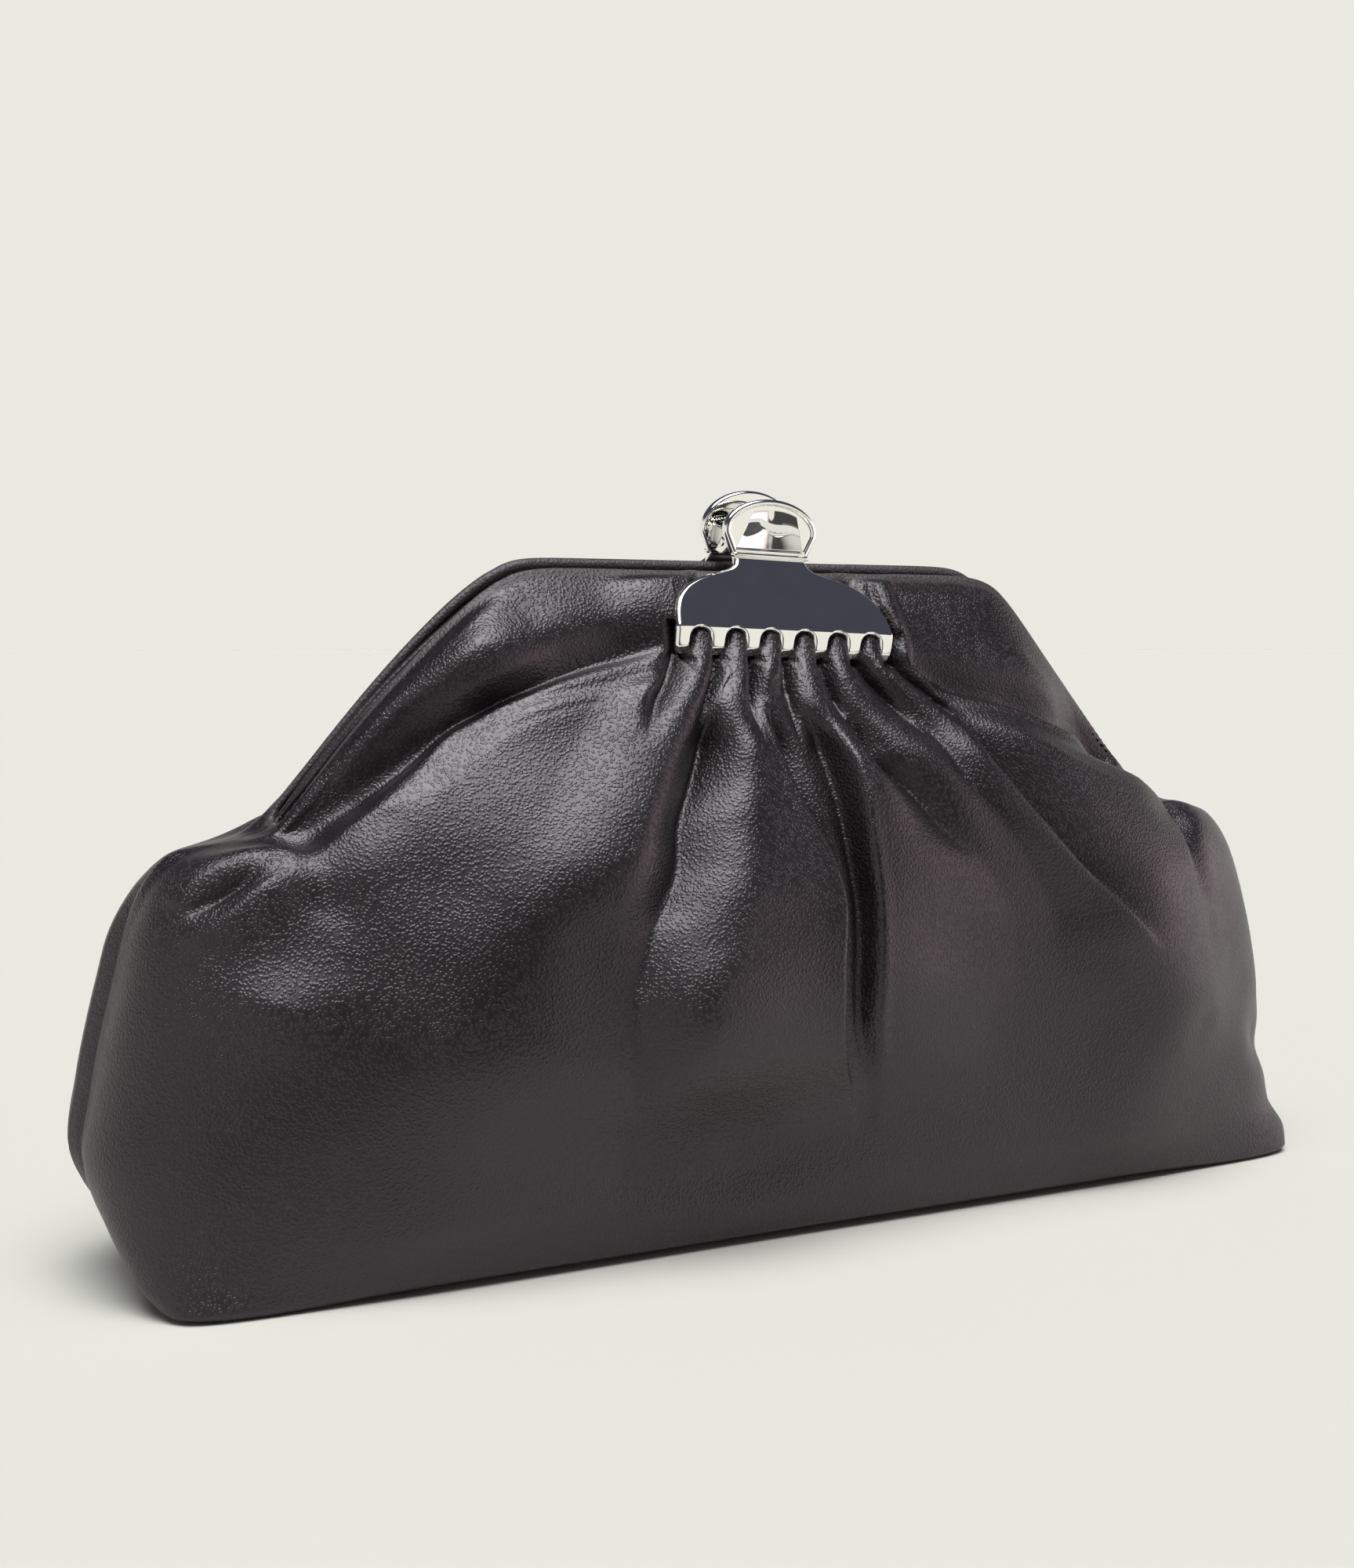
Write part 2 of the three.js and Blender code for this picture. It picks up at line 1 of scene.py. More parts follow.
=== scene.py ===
"""Looks of a soft framed pouch clutch in black leather with a polished claw clip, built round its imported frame."""
import math

import bmesh
import bpy
import numpy as np
from mathutils import Matrix, Vector


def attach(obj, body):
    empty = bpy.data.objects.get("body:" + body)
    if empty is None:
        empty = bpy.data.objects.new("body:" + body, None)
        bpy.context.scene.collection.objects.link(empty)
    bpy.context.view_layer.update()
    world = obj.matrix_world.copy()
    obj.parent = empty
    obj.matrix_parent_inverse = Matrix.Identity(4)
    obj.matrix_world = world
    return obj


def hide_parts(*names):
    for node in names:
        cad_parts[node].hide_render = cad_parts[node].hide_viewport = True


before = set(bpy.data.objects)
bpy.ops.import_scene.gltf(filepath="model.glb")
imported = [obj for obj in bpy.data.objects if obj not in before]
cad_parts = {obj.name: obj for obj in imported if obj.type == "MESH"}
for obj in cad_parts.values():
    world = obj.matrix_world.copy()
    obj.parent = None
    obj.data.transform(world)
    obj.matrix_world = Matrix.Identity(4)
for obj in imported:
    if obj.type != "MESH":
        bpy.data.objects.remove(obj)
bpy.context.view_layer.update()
MM = 0.001
rng = np.random.default_rng(7)

# ------------------------------------------------------------------ sizes, millimetres
LEAN = 0.06
MID_Y = 3.48
SEAM_GAP = 0.3
END_LIFT = 12.0
SEAM_FADE, RIM_FADE, FLOOR_FADE = 9.0, 5.0, 12.0
CLIP_PIVOT = np.array([0.0, -7.02, 163.0])
CLIP_LEAN, CLIP_CANT = math.radians(6), math.radians(2)

# level, half width, half depth, squareness, height at side, height at middle, flat share, framed, steps front, steps back
SECTIONS = [
    ("base seam",    149.0, 0.15, 12.0,  0.0,   0.0, 0.5,    False, 0, 0),
    ("base",         148.5, 38.6, 14.0,  0.0,   0.0, 0.5,    False, 6, 4),
    ("base turn",    153.5, 40.6, 13.0,  1.8,   1.8, 0.5,    False, 6, 4),
    ("base edge",    157.2, 41.3, 7.5,   6.4,   6.4, 0.5,    False, 6, 4),
    ("low",          160.0, 43.6, 4.7,  15.0,  16.0, 0.5,    False, 9, 5),
    ("belly low",    161.5, 44.5, 3.8,  27.0,  28.0, 0.5,    False, 12, 7),
    ("belly",        159.5, 45.0, 3.2,  44.0,  48.0, 0.5,    False, 17, 10),
    ("upper",        155.0, 42.0, 3.0,  66.0,  75.0, 0.45,   False, 24, 14),
    ("shoulder out", 149.5, 37.0, 2.8,  85.0,  98.0, 0.40,   False, 26, 15),
    ("shoulder",     142.5, 30.0, 2.8,  93.0, 115.0, 0.42,   False, 24, 14),
    ("shoulder in",  130.0, 19.8, 3.0,  96.0, 134.0, 0.46,   False, 34, 20),
    ("under rim",    123.5, 10.3, 4.5,  97.5, 149.0, 0.53,   True,  30, 18),
    ("rim",          121.3,  5.2, 10.0, 99.0, 156.5, 0.5625, True,  12, 8),
]

# fold, way across it, path of (x, z, height, half width on the low side, half width on the high side)
FRONT_FOLDS = [
    ("crease left", "z", [(-30.4, 135.9, -1.8, 3.7, 7), (-44, 131.5, -1.6, 3, 10.5), (-65.6, 128.4, -3.4, 2.8, 4.6), (-84.9, 120.6, -2.4, 3.3, 6.9), (-98.4, 108.5, -0.6, 2.6, 10.5), (-113.4, 101.3, 0.4, 1.5, 4.3), (-120.5, 96.9, -0.3, 3.2, 4.5)]),
    ("lip left", "z", [(-45.2, 126.3, -0.8, 11.6, 2.4), (-65.3, 123.7, -2.0, 12.1, 2.4), (-85.3, 114.5, -1.3, 8.8, 3.3), (-100.7, 103.3, -1.0, 11.8, 3.6), (-116.8, 95.5, -0.5, 11.1, 3.1)]),
    ("band left", "z", [(-37, 150.2, 0.8, 5.6, 7.2), (-59.4, 139.7, 0.1, 4.4, 20.6), (-79.1, 129.8, 7.2, 1.6, 9.1), (-98.1, 121.2, 1.9, 8.5, 4.1), (-110.9, 108.6, -1.4, 9.8, 4.9)]),
    ("crease right", "z", [(32.6, 128.7, -2, 3.8, 6.2), (49.8, 127.3, -3.4, 5, 25.2), (70.8, 121.3, -3.7, 4.6, 10.6), (88.5, 115.1, -3.4, 4.2, 5), (104.9, 109, -4.4, 2.7, 8.4)]),
    ("lip right", "z", [(50, 119.1, 0.1, 7.7, 3), (67.8, 112.4, 1.4, 9, 2.9), (85.1, 104.5, 1.2, 11.8, 3.2), (107.7, 98.2, 0.5, 10.9, 3)]),
    ("bulge left", "x", [(-60, 122.1, 1, 24.4, 19.6), (-69.8, 104, 0.7, 21.1, 40), (-77, 81.7, 3.2, 17.7, 14.9), (-88.5, 61.2, 4.2, 24.4, 33.2)]),
    ("shoulder dent", "x", [(-121.7, 84.4, -2.7, 7.5, 10.7), (-126, 74, -1.1, 13.9, 13.5), (-128.6, 64.1, 1.7, 11.4, 9.2)]),
    ("right drape", "x", [(114.9, 94.2, -2.5, 10.9, 6.7), (114, 82, 0.7, 8, 5.2), (114, 60, 0.6, 8.1, 6.2), (112, 42, -1, 8.4, 6.2)]),
    ("right groove", "x", [(122, 92, -0.8, 4, 4.9), (124, 80, 0.3, 4, 5), (124, 62, 0.3, 4, 5), (122, 46, -0.1, 4, 5)]),
    ("cheek dent", "x", [(-118.4, 99, -1.8, 5.6, 6.3), (-116.8, 88, -0.5, 4.1, 7.2), (-113.3, 78.9, -0.3, 5.4, 6.9)]),
    ("corner dent right", "z", [(150, 31, -3.4, 7.6, 10.7), (157.9, 27.2, -4.2, 7, 8), (162, 26.6, -3.6, 6.4, 8)]),
    ("core crease left", "z", [(-36, 138, -1.4, 1.8, 4), (-50.6, 135.8, -3.2, 1.8, 5), (-64.9, 132.4, -4.8, 1.8, 5.4), (-77.9, 128.2, -5.8, 1.7, 5), (-88.7, 121.6, -5.8, 1.6, 5), (-99, 112.6, -4.8, 1.5, 4.6), (-110.5, 104.2, -3.8, 1.5, 4.2), (-120.8, 97.8, -1.4, 2, 3)]),
    ("core crease right", "z", [(35, 136, -1, 2, 3), (45.5, 131.8, -2.6, 1.8, 3.5), (56.4, 128.3, -3.2, 1.6, 4), (68.4, 126.1, -4.2, 1.5, 4.1), (80.8, 122.4, -4.6, 1.5, 4.1), (98.1, 116.7, -2.8, 1.7, 3.8), (108, 110.1, -1, 2, 4)]),
    ("core right lobe", "x", [(105, 108, -0.8, 1.5, 4), (113.6, 101, -2.4, 1.4, 4.5), (116.8, 94, -3, 1.4, 5), (116, 86, -2.6, 1.4, 5), (117, 79, -1.6, 1.6, 5), (118.5, 71, 0, 2, 5)]),
]
# soft swells of the front, each (x, z, height), 20 mm wide and 16 mm tall
SWELLS = [
    (-104, 24, 1.0), (-76, 24, -0.7), (-48, 24, -3.0), (-20, 24, -4.2), (8, 24, -1.6), (92, 24, 2.7), (-90, 46, 1.4), (-62, 46, 2.0),
    (-34, 46, 2.4), (-6, 46, 3.4), (22, 46, 2.2), (50, 46, -1.2), (106, 46, 6.0), (134, 46, -0.8), (-104, 68, -1.5), (-76, 68, 1.0),
    (-48, 68, 2.8), (-20, 68, 1.7), (8, 68, 3.6), (92, 68, 6.4), (-90, 90, -1.9), (-62, 90, 2.5), (-34, 90, 2.4), (-6, 90, 1.1),
    (22, 90, 2.0), (50, 90, 1.9), (78, 90, 2.4), (106, 90, 1.9), (-104, 108, 1.2), (-76, 108, -1.4), (8, 108, 1.6), (36, 108, 0.9),
    (92, 108, -1.0),
]
# pleats of the front that run out from the comb, left to right: lines of (x, z, height), round crests and sharp valleys
PLEATS = [
    ("pleat 1", "crest", [(-24.5, 131.8, 3.8), (-31, 125.7, 4.2), (-34.8, 121.2, 4.2), (-39.6, 115, 3.8), (-45.6, 106.6, 3.2), (-50.7, 98, 2.8), (-54.4, 90.2, 2.2), (-57.6, 82.2, 1.2), (-60, 73.9, 0), (-62.4, 60.9, 0)]),
    ("valley 1", "valley", [(-20.2, 133.5, -3.6), (-23.7, 128.5, -4), (-26.1, 124, -4.7), (-28.4, 116.7, -5.5), (-33.1, 107.3, -6), (-38.1, 98, -6), (-40.2, 89.3, -5.2), (-44.7, 81.3, -3.6), (-49.3, 73.9, -1.5), (-53.9, 60.9, 0)]),
    ("pleat 2", "crest", [(-15.6, 131.3, 3.8), (-19, 127.9, 3.9), (-18.9, 122.9, 4.2), (-18, 115.6, 4.4), (-19, 105.9, 3.6), (-20.6, 97.1, 3.5), (-22.6, 88.4, 4.4), (-25.2, 80.4, 5.9), (-29.6, 71.7, 6.9), (-34.1, 63.8, 8.3), (-36.9, 55.9, 8.9), (-37.9, 48, 7.4), (-38.9, 35, 3.2), (-40, 17, 0)]),
    ("edge 2", "crest", [(-11.2, 132.9, 2.2), (-11.7, 128.5, 2.4), (-11.9, 122.9, 2.8), (-11.8, 115.6, 3), (-10.3, 106.6, 3), (-6.7, 97.1, 3.2), (-2.9, 88.4, 4), (-1.5, 79.5, 4.9), (-3, 70.5, 5.8), (-4.1, 61.5, 5.8), (-3.6, 52.5, 4.5), (-0.5, 43.3, 2.3), (3.2, 35.1, 0.6), (6.9, 22.1, 0)]),
    ("valley 2", "valley", [(-9.8, 134.5, -4), (-10.4, 128.5, -4.1), (-10.6, 122.4, -4.2), (-9, 116.1, -3.9), (-7.9, 106.6, -3.4), (-4.3, 97.1, -3.2), (-1, 88.4, -3), (0, 79.5, -2.9), (-1, 70.5, -2.7), (-2, 61.5, -2.8), (-1.6, 52.5, -3), (1, 43.3, -2.6), (4.8, 35.1, -0.8), (8.6, 22.1, 0)]),
    ("pleat 3", "crest", [(-5.5, 132.4, 1.9), (-7.8, 127.4, 1.4), (-7.9, 122.9, 0.3), (-4.9, 116.7, -1), (-2.8, 107.3, -1.8), (-0.5, 97.1, -2), (1.9, 88.4, -2.2), (3, 78.6, -2.4), (2, 69.4, -2.6), (1.5, 60.4, -3), (2.6, 52.5, -3), (5.2, 43.3, -2.6), (7.4, 35.1, -1), (9.6, 22.1, 0)]),
    ("valley 3", "valley", [(-0.5, 134, -3.4), (-2.6, 129.1, -3.5), (-1.8, 124.1, -3.6), (2.2, 116.7, -3.8), (3.7, 106.6, -3.8), (4.8, 97.1, -3.9), (5.4, 87.5, -3.9), (6, 78.6, -3.9), (5.6, 69.4, -3.9), (5.1, 60.4, -4), (4.7, 52.5, -3.8), (6.9, 43.3, -3.2), (9.1, 35.1, -1.2), (11.3, 22.1, 0)]),
    ("pleat 4", "crest", [(4.5, 130.7, 2.3), (3.2, 128.5, 2.7), (4.6, 122.4, 3.5), (6, 114.3, 4.5), (7.2, 104.5, 5), (7.3, 96.3, 4.6), (8.4, 87.5, 3.8), (9.1, 78.6, 3), (9.2, 69.4, 2.2), (8.8, 60.4, 1.8), (8.9, 52.5, 1.4), (11.7, 43.3, 0.8), (15.6, 35.1, 0.3), (19.5, 22.1, 0)]),
    ("pleat 4 back", "crest", [(8.3, 130.7, 2), (7, 128.5, 2.4), (8.4, 122.4, 3.2), (9.8, 114.3, 4.2), (11, 104.5, 4.7), (11.1, 96.3, 4.3), (12.2, 87.5, 3.5), (12.9, 78.6, 2.7), (13, 69.4, 1.9), (12.6, 60.4, 1.5), (12.2, 47.4, 0)]),
    ("valley 4", "valley", [(10.7, 133.5, -3.1), (10.5, 127.4, -3.6), (12.1, 121.2, -3.9), (12, 112.2, -3.5), (22.7, 103.8, -2.4), (30.4, 94.5, -1.2), (41.1, 85.7, 0), (51.8, 72.7, 0)]),
    ("pleat 5", "crest", [(15.7, 131.3, 3.6), (14.6, 126.3, 3.8), (17.7, 120.7, 4.1), (26.1, 112.9, 3.6), (34.6, 103.8, 2.5), (41.5, 94.5, 1.2), (48.2, 85.7, 0.2), (54.9, 72.7, 0)]),
    ("valley 5", "valley", [(21.1, 134, -2.7), (25.3, 127.9, -2), (31.1, 120.7, -1), (35.3, 112.9, 0.6), (39.9, 103, 1.6), (48.6, 93.7, 1.2), (56.5, 84.8, 0.4), (64.4, 71.8, 0)]),
    ("pleat 6", "crest", [(31, 132.4, 3.1), (36.9, 126.8, 3.7), (41.2, 120.1, 4.3), (43.5, 112.2, 4.1), (49.9, 103, 3.8), (58.2, 93.7, 3.6), (68.7, 83.9, 3.1), (81, 73.5, 1.9), (93.3, 60.5, 0)]),
    ("valley 6", "valley", [(37.2, 134.5, -1.8), (42.9, 128.5, -2.4), (45.2, 121.2, -3), (49.7, 112.9, -3.5), (56.7, 103, -4), (64.1, 93.6, -4.2), (71.9, 83.8, -3.8), (83.6, 73.3, -2.4), (95.3, 60.3, 0)]),
]
# pinch of leather at the left shoulder: paths of (x, y, z, height, half width below, half width above)
HOOKS = [
    ("hook valley", [(-115, -9.6, 95.2, -0.7, 1.1, 1.6), (-122, -14.2, 93.2, -2.1, 1.2, 1.8), (-128.5, -18.6, 91, -2.7, 1.3, 1.9), (-134, -20.2, 88.4, -2.9, 1.4, 2.1), (-139, -19.6, 85.6, -2.5, 1.3, 2.1), (-142.8, -18.4, 83, -1, 1.1, 1.8)]),
    ("hook lip", [(-121, -17.2, 91.4, 0.7, 7, 1.6), (-129, -23, 87.8, 1.6, 8, 1.6), (-136, -23.8, 83.6, 1.8, 8, 1.6), (-142.4, -21.6, 79.8, 1.2, 5, 1.4)]),
    ("hook top", [(-127, -14.2, 93.4, 0.5, 1.6, 5), (-133, -15.2, 91.2, 1.1, 1.6, 5), (-139.5, -14.6, 88.2, 1.3, 1.6, 5), (-144.2, -14.8, 84.4, 1, 1.5, 4)]),
]
BACK_FOLDS = [
    ("pleat 1", "x", [(-23.6, 144, 1.0, 3.4, 3.4), (-26, 132, 3.2, 4.2, 3.6), (-36, 116, 2.4, 7.0, 4.0), (-52, 100, 0, 8.0, 5.0)]),
    ("pleat 2", "x", [(-14.2, 144, 1.0, 3.4, 3.4), (-15, 132, 3.2, 4.0, 4.0), (-19, 110, 2.6, 6.0, 6.0), (-22, 92, 0, 8.0, 8.0)]),
    ("pleat 3", "x", [(-4.7, 144, 1.0, 3.4, 3.4), (-5, 132, 3.4, 4.0, 4.0), (-6, 105, 2.8, 6.0, 5.0), (-7, 75, 0, 9.0, 8.0)]),
    ("pleat 4", "x", [(4.7, 144, 1.0, 3.4, 3.4), (5, 132, 3.4, 4.0, 4.0), (5.5, 108, 2.8, 5.0, 6.0), (6, 80, 0, 7.0, 9.0)]),
    ("pleat 5", "x", [(14.2, 144, 1.0, 3.4, 3.4), (15.5, 132, 3.2, 4.0, 4.0), (21, 112, 2.4, 5.0, 7.0), (28, 96, 0, 7.0, 9.0)]),
    ("pleat 6", "x", [(23.6, 144, 1.0, 3.4, 3.4), (27, 132, 3.2, 3.6, 4.2), (40, 115, 2.6, 4.0, 7.0), (62, 98, 0, 6.0, 9.0)]),
    ("valley 1", "x", [(-18.9, 144, -1.0, 2.6, 2.6), (-20, 132, -2.6, 3.0, 3.0), (-27, 112, -2.0, 4.0, 4.0), (-36, 94, 0, 5.0, 5.0)]),
    ("valley 2", "x", [(-9.5, 144, -1.0, 2.6, 2.6), (-10, 132, -2.6, 3.0, 3.0), (-12, 110, -2.0, 4.0, 4.0), (-14, 88, 0, 5.0, 5.0)]),
    ("valley 3", "x", [(0, 144, -1.0, 2.6, 2.6), (0, 132, -3.0, 3.0, 3.0), (0, 106, -2.6, 4.0, 4.0), (0, 72, 0, 5.0, 5.0)]),
    ("valley 4", "x", [(9.5, 144, -1.0, 2.6, 2.6), (10, 132, -2.6, 3.0, 3.0), (12, 112, -2.0, 4.0, 4.0), (15, 90, 0, 5.0, 5.0)]),
    ("valley 5", "x", [(18.9, 144, -1.0, 2.6, 2.6), (20, 132, -2.6, 3.0, 3.0), (28, 114, -2.0, 4.0, 4.0), (40, 98, 0, 5.0, 5.0)]),
    ("crease left", "z", [(-33, 134, -1.5, 3.5, 6.0), (-65, 125.5, -5.0, 3.0, 8.0), (-86, 117, -5.2, 3.0, 8.0), (-112, 103, -2.5, 3.0, 5.0)]),
    ("crease right", "z", [(33, 133, -1.5, 3.5, 6.0), (66, 124, -4.8, 3.0, 8.0), (88, 115.5, -4.8, 3.0, 8.0), (112, 103, -2.0, 3.0, 5.0)]),
    ("lip left", "z", [(-46, 127, 0.0, 10.0, 3.0), (-66, 119, 1.6, 12.0, 3.0), (-88, 109, 2.2, 14.0, 3.0), (-114, 97, 1.0, 12.0, 3.0)]),
    ("lip right", "z", [(46, 126, 0.0, 10.0, 3.0), (66, 118, 1.6, 12.0, 3.0), (88, 108, 2.2, 14.0, 3.0), (114, 97, 1.0, 12.0, 3.0)]),
]

# outer face of a clip jaw: height over the pin, distance out
JAW_FACE = [(9.0, 6.2), (3.6, 5.9), (0.4, 6.0), (-2.6, 6.9), (-5.0, 8.5), (-9.0, 11.3), (-14.0, 15.0), (-17.6, 17.5), (-18.7, 18.26),
            (-19.1, 18.5), (-19.5, 18.64), (-20.2, 18.72), (-22.4, 18.7), (-23.8, 18.62), (-24.2, 18.55), (-24.8, 18.3), (-26.6, 17.4)]
# half width of the plate by height over the pin
PLATE_HALF = [(-2.2, 9.8), (-4.3, 10.2), (-5.4, 11.6), (-6.3, 14.4), (-7.2, 18.2), (-8.4, 21.8), (-10.3, 25.4), (-13.1, 28.2),
              (-16.4, 29.6), (-20.2, 30.2), (-24.0, 30.1), (-25.6, 29.8)]
NOTCH_PITCH, NOTCHES, NOTCH_R, NOTCH_TOP, TIP = 9.46, 6, 2.6, -19.5, -26.6
PLATE_THICK = 1.8
# the gathered leather below the comb: heights over the pin, centre line of each finger, how far each lies back, crest and valley by height
FINGER_T = np.array([-46.0, -36.0, -33.0, -29.5, -26.5, -23.5, -20.0])
FINGER_X = [(-41.0, -33.4, -30.6, -27.6, -25.4, -24.0, -23.0), (-22.0, -19.3, -18.1, -16.6, -15.5, -14.4, -13.7),
            (-10.0, -9.6, -9.1, -8.0, -6.7, -5.3, -4.1), (3.5, 2.6, 2.6, 2.8, 3.3, 4.2, 5.2),
            (22.0, 16.2, 14.8, 13.7, 13.3, 13.7, 14.6), (46.0, 35.4, 31.4, 26.6, 24.2, 23.0, 23.9)]
FINGER_LOW = [0.0, 0.0, 2.4, 0.0, 0.6, 1.2]
CREST = np.array([(-60, 41.5), (-46, 34.8), (-40, 31.8), (-36, 29.6), (-33, 27.6), (-30, 25.3), (-26.6, 22.4), (-24, 20.3), (-22, 18.8), (-20, 17.6), (-10, 14.0)])
VALLEY = np.array([(-60, 38.0), (-46, 31.0), (-40, 26.8), (-34, 21.6), (-30, 18.2), (-26.6, 15.2), (-10, 9.0)])
TAB = dict(half=12.9, mid=3.2, rise=7.8, foot=-2.6, foot_half=10.4, face=7.1, thick=2.3)


# ------------------------------------------------------------------ leather shape
def ease(v):
    c = np.clip(v, 0, 1)
    return c * c * (3 - 2 * c)


def smooth_interp(at, knots, values):
    """Monotone cubic through values."""
    h = np.diff(knots)
    sec = np.diff(values) / h
    m = np.empty_like(values, dtype=float)
    m[0], m[-1] = sec[0], sec[-1]
    for i in range(1, len(values) - 1):
        m[i] = 0 if sec[i - 1] * sec[i] <= 0 else 3 * (h[i - 1] + h[i]) / ((2 * h[i] + h[i - 1]) / sec[i - 1] + (h[i] + 2 * h[i - 1]) / sec[i])
    i = np.clip(np.searchsorted(knots, at, side="right") - 1, 0, len(h) - 1)
    t = (at - knots[i]) / h[i]
    return ((2 * t**3 - 3 * t**2 + 1) * values[i] + (t**3 - 2 * t**2 + t) * h[i] * m[i]
            + (-2 * t**3 + 3 * t**2) * values[i + 1] + (t**3 - t**2) * h[i] * m[i + 1])


def frame_height(row, x):
    _, wide, _, _, side, mid, flat, *_ = row
    a = (np.abs(x) / wide - flat) / (1 - flat)
    slant = mid + (side - mid) * a + np.where(x < 0, 3.0, -0.8) * np.sin(np.pi * np.clip(a, 0, 1))
    r = 4.0
    return side - r * np.log(np.exp(-(mid - side) / r) + np.exp(-(slant - side) / r))


def section_run(row, shares):
    _, wide, deep, square, side, mid, flat, framed, *_ = row
    turn = np.linspace(-np.pi / 2, np.pi / 2, 6001)
    s, c = np.sin(turn), np.cos(turn)
    x = wide * np.sign(s) * np.abs(s) ** (2 / square)
    y = -deep * np.abs(c) ** (2 / square)
    a = np.clip((np.abs(x) / wide - flat) / (1 - flat), 0, 1)
    z = frame_height(row, x) if framed else mid + (side - mid) * ease(a)
    p = np.stack([x, y, z], -1)
    d = np.r_[0, np.cumsum(np.linalg.norm(np.diff(p, axis=0), axis=1))]
    run = np.stack([np.interp(shares, d / d[-1], p[:, k]) for k in range(3)], -1)
    run[:, 1] = np.minimum(run[:, 1], -SEAM_GAP / 2)
    return run


def loft(shares, steps):
    """Smooth sheet through the sections, no overshoot, so that the base stays flat. Result is [station, column, xyz]."""
    rows = np.array([section_run(r, shares) for r in SECTIONS])
    gap = np.maximum(np.linalg.norm(np.diff(rows, axis=0), axis=2), 1e-6)[..., None]
    sec = np.diff(rows, axis=0) / gap
    slope = np.empty_like(rows)
    slope[0], slope[-1] = sec[0], sec[-1]
    w0, w1 = 2 * gap[1:] + gap[:-1], gap[1:] + 2 * gap[:-1]
    s0, s1 = sec[:-1], sec[1:]
    ok = s0 * s1 > 0
    with np.errstate(divide="ignore", invalid="ignore"):
        harmonic = (w0 + w1) / (w0 / np.where(ok, s0, 1) + w1 / np.where(ok, s1, 1))
    slope[1:-1] = np.where(ok, harmonic, 0)
    out = [rows[0]]
    for i in range(len(SECTIONS) - 1):
        for k in range(1, steps[i + 1] + 1):
            t = k / steps[i + 1]
            out.append((2 * t**3 - 3 * t**2 + 1) * rows[i] + (t**3 - 2 * t**2 + t) * gap[i] * slope[i]
                       + (-2 * t**3 + 3 * t**2) * rows[i + 1] + (t**3 - t**2) * gap[i] * slope[i + 1])
    return np.array(out)


def grid_normals(g):
    n = np.cross(np.gradient(g, axis=1), np.gradient(g, axis=0))
    return n / (np.linalg.norm(n, axis=2, keepdims=True) + 1e-12)


def fold_height(fold, x, z):
    """Height of one fold at points of the panel's face: a ridge or valley along a path, with its own width on each side."""
    _, across, path = fold
    path = np.array(path, float)
    knots = np.r_[0, np.cumsum(np.hypot(*np.diff(path[:, :2], axis=0).T))]
    s = np.linspace(0, knots[-1], max(10, int(knots[-1] / 3.0)))
    path = np.stack([smooth_interp(s, knots, path[:, k]) for k in range(5)], -1)
    reach = 2.6 * path[:, 3:].max()
    lift = np.zeros_like(x)
    near = ((x > path[:, 0].min() - reach) & (x < path[:, 0].max() + reach)
            & (z > path[:, 1].min() - reach) & (z < path[:, 1].max() + reach))
    px, pz = x[near], z[near]
    best = np.full(px.shape, 1e9)
    at = np.zeros(px.shape)
    side = np.zeros(px.shape)
    for i, ((ax, az), (bx, bz)) in enumerate(zip(path[:-1, :2], path[1:, :2])):
        dx, dz = bx - ax, bz - az
        f = np.clip(((px - ax) * dx + (pz - az) * dz) / (dx * dx + dz * dz + 1e-12), 0, 1)
        ex, ez = px - ax - f * dx, pz - az - f * dz
        d = ex * ex + ez * ez
        hit = d < best
        best = np.where(hit, d, best)
        at = np.where(hit, i + f, at)
        side = np.where(hit, ex if across == "x" else ez, side)
    idx = np.arange(len(path))
    height = np.interp(at, idx, path[:, 2])
    low, high = np.interp(at, idx, path[:, 3]), np.interp(at, idx, path[:, 4])
    best = np.sqrt(best)
    blend = ease(side / (best + 1e-6) * 0.5 + 0.5)
    wide = low + (high - low) * blend
    lift[near] = height * np.exp(-((best / wide) ** 2))
    return lift


def pleat_height(x, z):
    """Height of the pleats at points of the front's face, row by row between their lines."""
    lines = []
    for _, kind, path in PLEATS:
        path = np.array(path[::-1], float)
        zc = np.clip(z, path[0, 1], path[-1, 1])
        lines.append((kind, smooth_interp(zc, path[:, 1], path[:, 0]), smooth_interp(zc, path[:, 1], path[:, 2])))
    lines = [("crest", lines[0][1] - 24, 0 * x)] + lines + [("crest", lines[-1][1] + 20, 0 * x)]
    lift = np.zeros_like(x)
    for (ka, xa, ha), (kb, xb, hb) in zip(lines[:-1], lines[1:]):
        wide = np.maximum(xb - xa, 0.8)
        u = (x - xa) / wide
        on = (u >= 0) & (u < 1)
        u = np.clip(u, 0, 1)
        if ka == "crest" and kb == "valley":
            v = 1 - np.cos(np.pi / 2 * u)
        elif ka == "valley" and kb == "crest":
            v = np.sin(np.pi / 2 * u)
        else:
            v = 0.5 - 0.5 * np.cos(np.pi * u)
        lift = np.where(on, ha + (hb - ha) * v, lift)
    return lift


